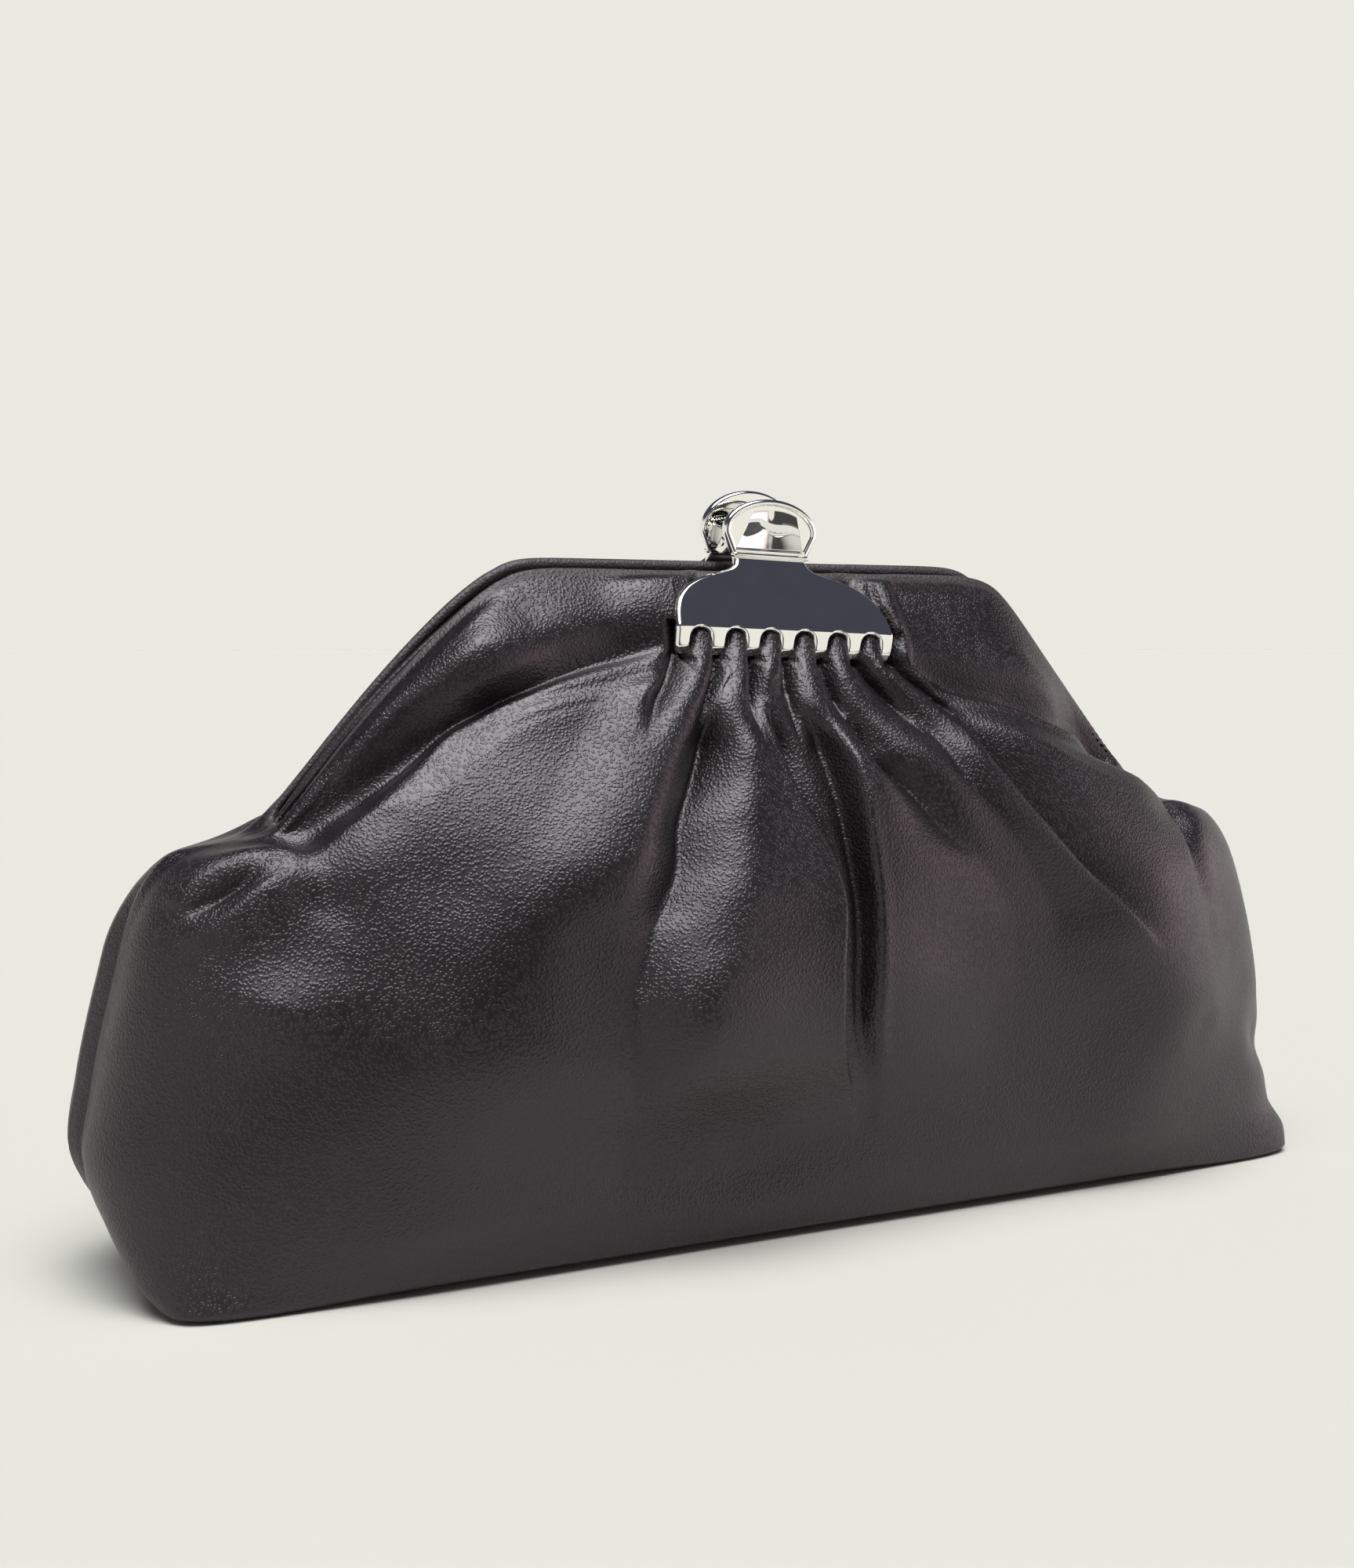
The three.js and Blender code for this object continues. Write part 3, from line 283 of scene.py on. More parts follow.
def hook_height(path, g):
    """Height of a fold along a path in space."""
    path = np.array(path, float)
    knots = np.r_[0, np.cumsum(np.linalg.norm(np.diff(path[:, :3], axis=0), axis=1))]
    s = np.linspace(0, knots[-1], 40)
    path = np.stack([smooth_interp(s, knots, path[:, k]) for k in range(6)], -1)
    lift = np.zeros(g.shape[:2])
    near = (np.abs(g - path[:, :3].mean(0)) < np.array([30, 30, 26])).all(-1)
    q = g[near]
    gap = np.linalg.norm(q[:, None] - path[None, :, :3], axis=2)
    i = gap.argmin(1)
    best = gap[np.arange(len(q)), i]
    off = q - path[i, :3]
    above = ease((0.6 * off[:, 1] + 0.8 * off[:, 2]) / (best + 1e-6) * 0.5 + 0.5)
    wide = path[i, 4] + (path[i, 5] - path[i, 4]) * above
    lift[near] = path[i, 3] * np.exp(-((best / wide) ** 2))
    return lift


def jaw_out(t):
    face = np.array(JAW_FACE[::-1])
    return smooth_interp(np.clip(t, face[0, 0], face[-1, 0]), face[:, 0], face[:, 1])


def plate_half(t):
    half = np.array(PLATE_HALF[::-1])
    return smooth_interp(np.clip(t, half[0, 0], half[-1, 0]), half[:, 0], half[:, 1])


NOTCH_X = (np.arange(NOTCHES) - (NOTCHES - 1) / 2) * NOTCH_PITCH
UP = np.array([-math.sin(CLIP_LEAN), math.cos(CLIP_LEAN)])


def to_clip(p):
    ry, rz = p[..., 1] - CLIP_PIVOT[1], p[..., 2] - CLIP_PIVOT[2] + p[..., 0] * math.tan(CLIP_CANT)
    return ry * UP[0] + rz * UP[1], ry * UP[1] - rz * UP[0]       # height over the pin, signed distance to the back


def clear_of_jaw(x, t):
    """Distance in the jaw's face from the metal, 0 under it. Low in each notch the leather laps over the tooth to its left."""
    tc = np.maximum(t, TIP)
    left = 2.35 + 2.6 * ease((-21.2 - tc) / 5.4)
    right = 2.3 - 0.3 * ease((-21.2 - tc) / 5.4)
    slot = np.full(x.shape, -1e9)
    for nx in NOTCH_X:
        near = x - nx
        straight = np.minimum(near + left, right - near)
        round_top = NOTCH_R - 0.25 - np.hypot(near, t - (NOTCH_TOP - NOTCH_R))
        slot = np.maximum(slot, np.where(t > NOTCH_TOP - NOTCH_R, round_top, straight))
    inside = np.abs(x) < NOTCH_X[-1] + NOTCH_PITCH / 2
    slot = np.maximum(slot, 0)
    below = np.hypot(slot, np.maximum(TIP - t, 0))
    beside = np.hypot(np.maximum(np.abs(x) - plate_half(t), 0), np.maximum(TIP - t, 0))
    return np.where(inside, np.where(t < TIP, below, slot), beside)


def gathered(x, t, w):
    """Distance out of the leather where it is gathered into fingers below the comb, blended into w further down and to the sides."""
    tc = np.clip(t, FINGER_T[0], FINGER_T[-1])
    c = np.array([smooth_interp(tc, FINGER_T, np.array(v)) for v in FINGER_X])
    top, low = np.interp(t, CREST[:, 0], CREST[:, 1]), np.interp(t, VALLEY[:, 0], VALLEY[:, 1])
    level = np.full(x.shape, -1e9)
    for i in range(len(c)):
        left = (c[i] - c[i - 1]) / 2 if i else 5.4
        right = (c[i + 1] - c[i]) / 2 if i < len(c) - 1 else 5.4
        u = np.where(x < c[i], (c[i] - x) / left, (x - c[i]) / right)
        crest = top - FINGER_LOW[i] * ease((-27 - t) / 8)
        level = np.maximum(level, low + (crest - low) * np.clip(1 - np.clip(u, 0, 1) ** 2.2, 0, 1) ** 0.6)
    share = ease((t + 47) / 13) * ease((x - c[0] + 11.5) / 8) * ease((c[-1] + 11.5 - x) / 8) * (t < -18)
    return w + (level - w) * share


def under_clip(p, side):
    """Leather held down by the plate and the teeth, and squeezed out through the notches between them."""
    t, w = to_clip(p)
    start = side * w
    w = gathered(p[..., 0], t, start) if side < 0 else start
    d = clear_of_jaw(p[..., 0], t)
    held = jaw_out(np.maximum(t, TIP)) - PLATE_THICK * np.where(t > -18, 1.26, 1.05) - 0.35
    s = np.clip(d / NOTCH_R, 0, 1)
    rise = (4.3 * np.sqrt(np.clip(1 - (1 - s) ** 2, 0, 1)) + 2.2 * np.maximum(0, d - NOTCH_R * 0.6)) * (1 + 0.9 * ease((-19.6 - t) / 6.6))
    room = np.where((t > -2.5) | (d > 12), 1e3, held + rise)
    k = 0.45
    over = w - room
    eased = np.where(over > 6, room, w - k * np.log1p(np.exp(np.clip(over / k, -60, 60))))
    q = p.copy()
    q[..., 1] += side * (np.where(room > 500, w, eased) - start)
    return q


def swell_height(x, z):
    return sum(h * np.exp(-(((x - sx) / 20.0) ** 2) - ((z - sz) / 16.0) ** 2) for sx, sz, h in SWELLS)


def base_grid(columns, which, side, centre=0.6):
    a = np.linspace(-1, 1, columns + 1)
    shares = 0.5 + 0.5 * (centre * a + (1 - centre) * a**3)
    g = loft(shares, [r[8 + which] for r in SECTIONS])
    n = grid_normals(g)
    near_rim = np.full(g.shape[:2], 1e9)
    for q in g[-1][:: max(1, columns // 150)]:
        near_rim = np.minimum(near_rim, np.linalg.norm(g - q, axis=2))
    fade = ease(np.abs(g[..., 1]) / SEAM_FADE) * ease(near_rim / RIM_FADE) * ease((g[..., 2] - 3) / FLOOR_FADE)
    # the back rim stands a little higher than the front one, less so down the slants
    slope = np.abs(np.gradient(g[-1][:, 2]) / (np.gradient(g[-1][:, 0]) + 1e-9))
    level = 1 - 0.55 * ease(slope / 0.8)
    g[..., 2] += (1.6 if side > 0 else -0.75) * ease(1 - near_rim / 14.0) * level[None, :] * ease((g[..., 2] - 97) / 8)
    off = np.abs(g[..., 1])
    # the ends of the base are drawn up to the side seams
    out = ease((np.abs(g[..., 0]) - 126) / 32)
    if side > 0:
        g[..., 0] -= np.sign(g[..., 0]) * 10.0 * ease((np.abs(g[..., 0]) - 116) / 36) * ease(off / 26.0) * (1 - ease((g[..., 2] - 4) / 36))
    g[..., 2] += END_LIFT * out * (1 - ease(off / 32.0)) * (1 - ease(g[..., 2] / 44.0))
    # the right end comes down to a fuller corner
    corner = ease((g[..., 0] - 112) / 40)
    g[..., 0] += corner * (2.8 * (1 - ease((g[..., 2] - 4) / 11)) - 2.0 * ease((g[..., 2] - 6) / 8) * (1 - ease((g[..., 2] - 16) / 10)))
    # between the corners the front of the base rolls up a little off the floor
    roll = ease((off - 20) / 18) * (1 - ease((np.abs(g[..., 0]) - 92) / 46))
    if side < 0:
        g[..., 2] += 1.1 * roll * (1 - ease((g[..., 2] - 1) / 14))
        g[..., 1] -= 1.6 * roll * ease(g[..., 2] / 3) * (1 - ease((g[..., 2] - 6) / 26))
    # leather swells out beside the side seams
    low = 1 - ease((g[..., 2] - 20) / 36)
    puff = ease(off / 5.0) * (1 - ease((off - 6.0) / 16.0)) * ease((g[..., 2] - 6) / 26) * (1 - ease((g[..., 2] - 72) / 22))
    amount = 3.0 if side > 0 else np.where(g[..., 0] < 0, 1.0, -1.6)
    if side < 0:
        full = ease(off / 7.0) * (1 - ease((off - 14.0) / 20.0)) * ease((g[..., 2] - 0.5) / 7) * low
        g += n * (1.4 * full * (g[..., 0] < -100))[..., None]
    g += n * (amount * puff * (np.abs(g[..., 0]) > 100))[..., None]
    if side < 0:
        lip = (1 - ease((off - 0.8) / 3.6)) * ease((g[..., 2] - 12) / 14) * (1 - ease((g[..., 2] - 92) / 5))
        g += n * (1.1 * lip * (np.abs(g[..., 0]) > 100))[..., None]
    return g, n, fade


def panel_points(side, columns, which):
    """Points of a panel and how far folds have worked the leather at each, 0 to 1."""
    g, n, fade = base_grid(columns, which, side)
    x, z = g[..., 0], g[..., 2]
    lift, worked = np.zeros_like(x), np.zeros_like(x)
    for f in FRONT_FOLDS if side < 0 else BACK_FOLDS:
        h = fold_height(f, x, z)
        lift += h
        if f[0].split()[0] in ("pleat", "valley", "band", "crease", "tooth"):
            worked += np.abs(h) / 3.0
    if side < 0:
        pleats = 0.5 * pleat_height(x, z) + 0.25 * (pleat_height(x - 0.8, z) + pleat_height(x + 0.8, z))
        worked += np.abs(pleats) / 4.0 * ease((z - 70) / 30)
        lift += swell_height(x, z) + pleats
        for _, path in HOOKS:
            lift += hook_height(path, g)
    p = g + n * (lift * fade)[..., None]
    p[..., 1] = MID_Y - LEAN * p[..., 2] - side * p[..., 1]
    return under_clip(p, side), np.clip(worked * fade, 0, 1)


def rolled(p, radius, turns=6, tuck=2.5, toward=None, over=1.0):
    """Extra points that roll an edge row over to the inside. p is [station, column], the edge is the last row."""
    edge, before = p[-1], p[-2]
    along = edge - before
    along /= np.linalg.norm(along, axis=1, keepdims=True) + 1e-12
    run = np.gradient(edge, axis=0)
    run /= np.linalg.norm(run, axis=1, keepdims=True) + 1e-12
    inward = np.cross(run, along)
    if toward is not None:
        inward *= np.sign((inward * (toward - edge)).sum(1, keepdims=True))
    rows = []
    for k in range(1, turns + 1):
        a = math.pi * k / turns
        rows.append(edge + radius * (over * math.sin(a) * along + (1 - math.cos(a)) * inward))
    rows.append(rows[-1] - tuck * along)
    return np.array(rows)


def make_object(name, points, quads, material, smooth=True):
    mesh = bpy.data.meshes.new(name)
    mesh.from_pydata((np.asarray(points) * MM).tolist(), [], [list(map(int, q)) for q in quads])
    mesh.validate()
    mesh.polygons.foreach_set("use_smooth", [smooth] * len(mesh.polygons))
    mesh.materials.append(material)
    ob = bpy.data.objects.new(name, mesh)
    bpy.context.scene.collection.objects.link(ob)
    return ob


def grid_quads(rows, cols, flip):
    i = np.arange(rows * cols).reshape(rows, cols)
    q = np.stack([i[:-1, :-1], i[:-1, 1:], i[1:, 1:], i[1:, :-1]], -1).reshape(-1, 4)
    return q[:, ::-1] if flip else q


def leather_panel(name, side, columns, which, material):
    p, worked = panel_points(side, columns, which)
    middle = np.stack([p[-1][:, 0] * 0.97, MID_Y - LEAN * p[-1][:, 2], p[-1][:, 2] - 3], -1)
    p = np.concatenate([p, rolled(p, *RIM_ROLL[side], toward=middle)], 0)
    # side seams: turn the edges in
    pt = np.swapaxes(p, 0, 1)
    inner = np.array([0.0, MID_Y, 60.0])
    right = rolled(pt, 0.9, turns=4, tuck=1.2, toward=inner)
    left = rolled(pt[::-1], 0.9, turns=4, tuck=1.2, toward=inner)[::-1]
    p = np.swapaxes(np.concatenate([left, pt, right], 0), 0, 1)
    ob = make_object(name, p.reshape(-1, 3), grid_quads(p.shape[0], p.shape[1], side > 0), material)
    full = np.zeros(p.shape[:2])
    full[:worked.shape[0], len(left):len(left) + worked.shape[1]] = worked
    edge = np.zeros(p.shape[:2])
    edge[worked.shape[0] - 3:] = 1.0
    mark = ob.data.attributes.new("edge", "FLOAT", "POINT")
    mark.data.foreach_set("value", edge.reshape(-1).astype(np.float32))
    mark = ob.data.attributes.new("worked", "FLOAT", "POINT")
    mark.data.foreach_set("value", full.reshape(-1).astype(np.float32))
    return ob


RIM_ROLL = {-1: (0.75, 6), 1: (1.55, 9)}


# ------------------------------------------------------------------ materials
def new_material(name):
    m = bpy.data.materials.new(name)
    m.use_nodes = True
    nt = m.node_tree
    bsdf = next(n for n in nt.nodes if n.type == "BSDF_PRINCIPLED")
    return m, nt, bsdf


def node(nt, kind, **sets):
    n = nt.nodes.new(kind)
    for k, v in sets.items():
        if k.startswith("in_"):
            n.inputs[k[3:].replace("_", " ")].default_value = v
        else:
            setattr(n, k, v)
    return n


def ramp(nt, source, stops):
    r = nt.nodes.new("ShaderNodeValToRGB")
    e = r.color_ramp.elements
    while len(e) < len(stops):
        e.new(0.5)
    for el, (pos, col) in zip(e, stops):
        el.position = pos
        el.color = col if len(col) == 4 else (*col, 1)
    nt.links.new(source, r.inputs[0])
    return r


def leather_material(name, tint=(0.0066, 0.0052, 0.0059), rough=(0.34, 0.43), grain=0.7):
    m, nt, bsdf = new_material(name)
    L = nt.links
    co = node(nt, "ShaderNodeTexCoord").outputs["Object"]
    # pebble grain: cells of about 0.7 mm with soft tops, broken up by a finer grain
    warp = node(nt, "ShaderNodeTexNoise", in_Scale=420.0, in_Detail=2.0)
    L.new(co, warp.inputs["Vector"])
    bend = node(nt, "ShaderNodeVectorMath", operation="MULTIPLY_ADD")
    bend.inputs[1].default_value = (0.0011, 0.0011, 0.0011)
    L.new(warp.outputs["Color"], bend.inputs[0])
    L.new(co, bend.inputs[2])
    pebble = node(nt, "ShaderNodeTexVoronoi", feature="SMOOTH_F1", in_Scale=1350.0, in_Smoothness=0.35)
    L.new(bend.outputs[0], pebble.inputs["Vector"])
    soft = node(nt, "ShaderNodeMapRange", interpolation_type="SMOOTHSTEP")
    soft.inputs["From Min"].default_value, soft.inputs["From Max"].default_value = 0.62, 0.18
    L.new(pebble.outputs["Distance"], soft.inputs["Value"])
    fine = node(nt, "ShaderNodeTexNoise", in_Scale=2600.0, in_Detail=3.0, in_Roughness=0.6)
    L.new(co, fine.inputs["Vector"])
    broad = node(nt, "ShaderNodeTexNoise", in_Scale=34.0, in_Detail=3.0, in_Roughness=0.55)
    L.new(co, broad.inputs["Vector"])
    # short level wrinkles where folds have worked the leather
    flat = node(nt, "ShaderNodeMapping")
    flat.inputs["Scale"].default_value = (430.0, 430.0, 1500.0)
    L.new(co, flat.inputs["Vector"])
    wrinkle = node(nt, "ShaderNodeTexNoise", in_Scale=1.0, in_Detail=3.0, in_Roughness=0.55)
    L.new(flat.outputs["Vector"], wrinkle.inputs["Vector"])
    worked = node(nt, "ShaderNodeAttribute", attribute_name="worked")
    creased = node(nt, "ShaderNodeMath", operation="MULTIPLY")
    L.new(wrinkle.outputs["Fac"], creased.inputs[0])
    L.new(worked.outputs["Fac"], creased.inputs[1])
    # grain is stronger in some places than others
    patch = node(nt, "ShaderNodeMapRange")
    patch.inputs["From Min"].default_value, patch.inputs["From Max"].default_value = 0.35, 0.68
    patch.inputs["To Min"].default_value, patch.inputs["To Max"].default_value = 0.65, 1.15
    L.new(broad.outputs["Fac"], patch.inputs["Value"])
    height = node(nt, "ShaderNodeMath", operation="MULTIPLY_ADD")
    height.inputs[1].default_value = 0.4
    L.new(fine.outputs["Fac"], height.inputs[0])
    L.new(soft.outputs["Result"], height.inputs[2])
    scaled = node(nt, "ShaderNodeMath", operation="MULTIPLY")
    L.new(height.outputs[0], scaled.inputs[0])
    L.new(patch.outputs["Result"], scaled.inputs[1])
    total = node(nt, "ShaderNodeMath", operation="MULTIPLY_ADD")
    total.inputs[1].default_value = 0.7
    L.new(creased.outputs[0], total.inputs[0])
    L.new(scaled.outputs[0], total.inputs[2])
    bump = node(nt, "ShaderNodeBump")
    bump.inputs["Strength"].default_value = grain
    bump.inputs["Distance"].default_value = 0.00014
    L.new(total.outputs[0], bump.inputs["Height"])
    L.new(bump.outputs["Normal"], bsdf.inputs["Normal"])
    # colour: near black, browner in random patches, with painted shade in the grain's crevices and painted light on the
    # rolled mouth edge
    tone = ramp(nt, broad.outputs["Fac"], [(0.30, tuple(c * 0.85 for c in tint)), (0.55, tint), (0.78, (tint[0] * 1.3, tint[1] * 1.2, tint[2] * 1.2))])
    # painted shade: the base colour is darkened in the crevices of the pebble grain, so the pebble tops read lighter
    valley = node(nt, "ShaderNodeMix", data_type="RGBA", blend_type="MULTIPLY")
    valley.inputs["Factor"].default_value = 0.4
    L.new(tone.outputs["Color"], valley.inputs[6])
    L.new(soft.outputs["Result"], valley.inputs[7])
    # painted light: the rolled edge at the mouth is made paler to stand in for the light the rim catches, and it is
    # matter
    edge = node(nt, "ShaderNodeAttribute", attribute_name="edge")
    painted_rim_light = node(nt, "ShaderNodeMix", data_type="RGBA")
    painted_rim_light.inputs[7].default_value = (0.030, 0.0262, 0.0278, 1.0)
    L.new(edge.outputs["Fac"], painted_rim_light.inputs["Factor"])
    L.new(valley.outputs[2], painted_rim_light.inputs[6])
    L.new(painted_rim_light.outputs[2], bsdf.inputs["Base Color"])
    rmap = node(nt, "ShaderNodeMapRange")
    rmap.inputs["From Min"].default_value, rmap.inputs["From Max"].default_value = 0.3, 0.7
    rmap.inputs["To Min"].default_value, rmap.inputs["To Max"].default_value = rough
    L.new(broad.outputs["Fac"], rmap.inputs["Value"])
    matt = node(nt, "ShaderNodeMath", operation="MULTIPLY_ADD")
    matt.inputs[1].default_value = 0.16
    L.new(edge.outputs["Fac"], matt.inputs[0])
    L.new(rmap.outputs["Result"], matt.inputs[2])
    L.new(matt.outputs[0], bsdf.inputs["Roughness"])
    bsdf.inputs["Specular IOR Level"].default_value = 0.70
    bsdf.inputs["Specular Tint"].default_value = (1.0, 0.855, 0.965, 1.0)
    return m


def metal_material(name, colour=(0.95, 0.94, 0.915), rough=(0.03, 0.07), grain=0.02):
    m, nt, bsdf = new_material(name)
    L = nt.links
    co = node(nt, "ShaderNodeTexCoord").outputs["Object"]
    haze = node(nt, "ShaderNodeTexNoise", in_Scale=160.0, in_Detail=4.0, in_Roughness=0.6)
    L.new(co, haze.inputs["Vector"])
    tone = ramp(nt, haze.outputs["Fac"], [(0.3, tuple(c * 0.95 for c in colour)), (0.7, colour)])
    L.new(tone.outputs["Color"], bsdf.inputs["Base Color"])
    rmap = node(nt, "ShaderNodeMapRange")
    rmap.inputs["From Min"].default_value, rmap.inputs["From Max"].default_value = 0.3, 0.75
    rmap.inputs["To Min"].default_value, rmap.inputs["To Max"].default_value = rough
    L.new(haze.outputs["Fac"], rmap.inputs["Value"])
    L.new(rmap.outputs["Result"], bsdf.inputs["Roughness"])
    fine = node(nt, "ShaderNodeTexNoise", in_Scale=900.0, in_Detail=2.0)
    L.new(co, fine.inputs["Vector"])
    bump = node(nt, "ShaderNodeBump")
    bump.inputs["Strength"].default_value = grain
    bump.inputs["Distance"].default_value = 0.00005
    L.new(fine.outputs["Fac"], bump.inputs["Height"])
    L.new(bump.outputs["Normal"], bsdf.inputs["Normal"])
    bsdf.inputs["Metallic"].default_value = 1.0
    return m


leather = leather_material("black_leather")
leather_back = leather_material("black_leather_back", tint=(0.0064, 0.0051, 0.0058))
binding = leather_material("leather_binding", tint=(0.011, 0.0097, 0.0105), rough=(0.36, 0.46), grain=0.4)
nickel = metal_material("polished_nickel")
steel = metal_material("spring_wire", colour=(0.62, 0.61, 0.59), rough=(0.16, 0.28), grain=0.08)

# ------------------------------------------------------------------ leather pieces
front = leather_panel("front_leather", -1, 430, 0, leather)
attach(front, "bag")
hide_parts("front_panel")
back = leather_panel("back_leather", 1, 260, 1, leather_back)
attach(back, "bag")
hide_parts("back_panel")


def frame_bar(name, side):
    rim = SECTIONS[-1]
    steps = 220
    i = np.linspace(-1, 1, steps + 1)
    x = 119.6 * np.sin(np.pi / 2 * i * 0.86) / math.sin(np.pi * 0.43)
    z = frame_height(rim, x)
    dz = (frame_height(rim, x + 0.05) - frame_height(rim, x - 0.05)) / 0.1
    nx, nz = -dz / np.hypot(dz, 1), 1 / np.hypot(dz, 1)
    slim = 1 - 0.3 * ease((np.abs(x) - 100) / 14) - 0.35 * ease((np.abs(x) - 113) / 6)
    deep, tall, gap = 2.4, 5.2, 0.45
    proud = -1.6 + 1.5 * ease((np.abs(x) - 72) / 34)         # nearer the top where the arms run down to the hinges
    rings = []
    m = 20
    for k in range(m):
        a = 2 * math.pi * k / m
        c, s = math.cos(a), math.sin(a)
        e = 0.45
        u = (proud - tall) / 2 + (proud + tall) / 2 * math.copysign(abs(s) ** e, s)
        v = 0.5 + 0.5 * math.copysign(abs(c) ** e, c)
        d = deep * slim * v
        px, pz = x + nx * u, z + nz * u
        rings.append(np.stack([px, MID_Y - LEAN * pz + side * (gap + d), pz], -1))
    g = np.array(rings)                                     # [around, along]
    n, k = g.shape[1], g.shape[0]
    points = np.swapaxes(g, 0, 1).reshape(-1, 3)
    q = []
    for r in range(n - 1):
        for j in range(k):
            a, b = r * k + j, r * k + (j + 1) % k
            q.append([a, b, b + k, a + k] if side > 0 else [a, a + k, b + k, b])
    q.append(list(range(k))[::-1] if side > 0 else list(range(k)))
    last = [(n - 1) * k + j for j in range(k)]
    q.append(last if side > 0 else last[::-1])
    ob = make_object(name, points, q, binding)
    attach(ob, "bag")
    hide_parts("frame_front" if side < 0 else "frame_back")
    return ob


frame_bar("frame_binding_front", -1)
frame_bar("frame_binding_back", 1)

# ------------------------------------------------------------------ claw clip
CLIP_TURN = Matrix.Rotation(CLIP_CANT, 3, "Y") @ Matrix.Rotation(CLIP_LEAN, 3, "X")


def clip_world(points):
    turn = np.array(CLIP_TURN)
    return np.asarray(points) @ turn.T + CLIP_PIVOT


def dense(points, step=0.22):
    out = []
    for a, b in zip(points[:-1], points[1:]):
        a, b = np.array(a, float), np.array(b, float)
        n = max(1, int(np.linalg.norm(b - a) / step))
        out += [a + (b - a) * k / n for k in range(n)]
    out.append(np.array(points[-1], float))
    return out


def arc(cx, ct, r, a0, a1, n=16):
    return [(cx + r * math.cos(a0 + (a1 - a0) * k / n), ct + r * math.sin(a0 + (a1 - a0) * k / n)) for k in range(n + 1)]


def plate_outline():
    """Outline of the plate and its comb, anticlockwise seen with x right and height up."""
    tip_r = 1.1
    top = [(float(plate_half(np.array([t]))[0]), t) for t in np.linspace(-2.2, -25.2, 90)]
    right = top + arc(29.9 - 1.3, TIP + 1.3, 1.3, 0, -math.pi / 2, 8)
    foot = []
    for x in NOTCH_X[::-1]:
        foot += arc(x + NOTCH_R + tip_r, TIP + tip_r, tip_r, -math.pi / 2, -math.pi, 8)
        foot += arc(x, NOTCH_TOP - NOTCH_R, NOTCH_R, 0, math.pi, 24)
        foot += arc(x - NOTCH_R - tip_r, TIP + tip_r, tip_r, 0, -math.pi / 2, 8)
    left = [(-a, b) for a, b in right][::-1]
    loop = right + foot + left
    loop = dense(loop + [loop[0]])[:-1]
    loop = loop[::-1]
    keep = [loop[0]]
    for p in loop[1:]:
        if np.linalg.norm(p - keep[-1]) > 0.05:
            keep.append(p)
    if np.linalg.norm(keep[0] - keep[-1]) < 0.05:
        keep.pop()
    return np.array(keep)


def tab_outline(extra):
    p = [(TAB["foot_half"], TAB["foot"])]
    p += [(TAB["half"] * math.cos(a), TAB["mid"] + (TAB["rise"] + extra) * math.sin(a)) for a in np.linspace(-0.12, math.pi + 0.12, 60)]
    p += [(-TAB["foot_half"], TAB["foot"])]
    loop = dense(p + [p[0]], 0.3)[:-1]
    return np.array(loop)


def inset(loop, d):
    """Loop moved inwards by d (anticlockwise loop)."""
    before, after = np.roll(loop, 1, 0), np.roll(loop, -1, 0)
    t0, t1 = loop - before, after - loop
    t0 /= np.linalg.norm(t0, axis=1, keepdims=True)
    t1 /= np.linalg.norm(t1, axis=1, keepdims=True)
    n0, n1 = np.stack([-t0[:, 1], t0[:, 0]], -1), np.stack([-t1[:, 1], t1[:, 0]], -1)
    n = n0 + n1
    n /= np.linalg.norm(n, axis=1, keepdims=True)
    c = np.maximum((n * n0).sum(1, keepdims=True), 0.5)
    return loop + n * d / c


def smooth_loop(loop, times):
    for _ in range(times):
        loop = 0.5 * loop + 0.25 * (np.roll(loop, 1, 0) + np.roll(loop, -1, 0))
    return loop


def shell(loop, out_rings, in_rings, place, levels):
    """Closed plate from an outline. Rings are (inset, depth) from the outer face's middle to its edge, then the inner face's.
    place(x, t, depth) gives clip coordinates. levels are heights at which the faces are cut, so that they can bend."""
    bm = bmesh.new()
    rings = []
    for d, depth in list(out_rings) + list(in_rings)[::-1]:
        ring = inset(loop, d)
        rings.append([(bm.verts.new((x, t, -depth)), depth) for x, t in ring])
    for a, b in zip(rings[:-1], rings[1:]):
        n = len(a)
        for i in range(n):
            j = (i + 1) % n
            bm.faces.new((a[i][0], b[i][0], b[j][0], a[j][0]))
    bm.faces.new([v for v, _ in rings[0]])
    bm.faces.new([v for v, _ in rings[-1]][::-1])
    for h in levels:
        bmesh.ops.bisect_plane(bm, geom=bm.verts[:] + bm.edges[:] + bm.faces[:], dist=1e-6, plane_co=(0, h, 0), plane_no=(0, 1, 0))
    bm.verts.index_update()
    pts = np.array([v.co[:] for v in bm.verts])
    faces = [[v.index for v in f.verts] for f in bm.faces]
    bm.free()
    return place(pts[:, 0], pts[:, 1], -pts[:, 2]), faces


def merge(parts):
    points, faces, base = [], [], 0
    for p, f in parts:
        points.append(p)
        faces += [[i + base for i in face] for face in f]
        base += len(p)
    return np.concatenate(points), faces


def flip(part):
    return part[0], [f[::-1] for f in part[1]]


def on_jaw(x, t, depth):
    out = jaw_out(t)
    slope = (jaw_out(t + 0.05) - jaw_out(t - 0.05)) / 0.1
    n = np.stack([np.ones_like(slope), -slope], -1)
    n /= np.linalg.norm(n, axis=1, keepdims=True)
    return np.stack([x, -(out - depth * n[:, 0]), t - depth * n[:, 1]], -1)


TAB_TILT = math.radians(4.2)
BACK_TAB_EXTRA = 1.7


def on_tab(x, t, depth):
    c, s = math.cos(TAB_TILT), math.sin(TAB_TILT)
    up, out = t - TAB["foot"], TAB["face"] - depth
    return np.stack([x, -(out * c - 0 - up * s + TAB["face"] * (1 - c)), TAB["foot"] + up * c + (out - TAB["face"]) * s], -1)


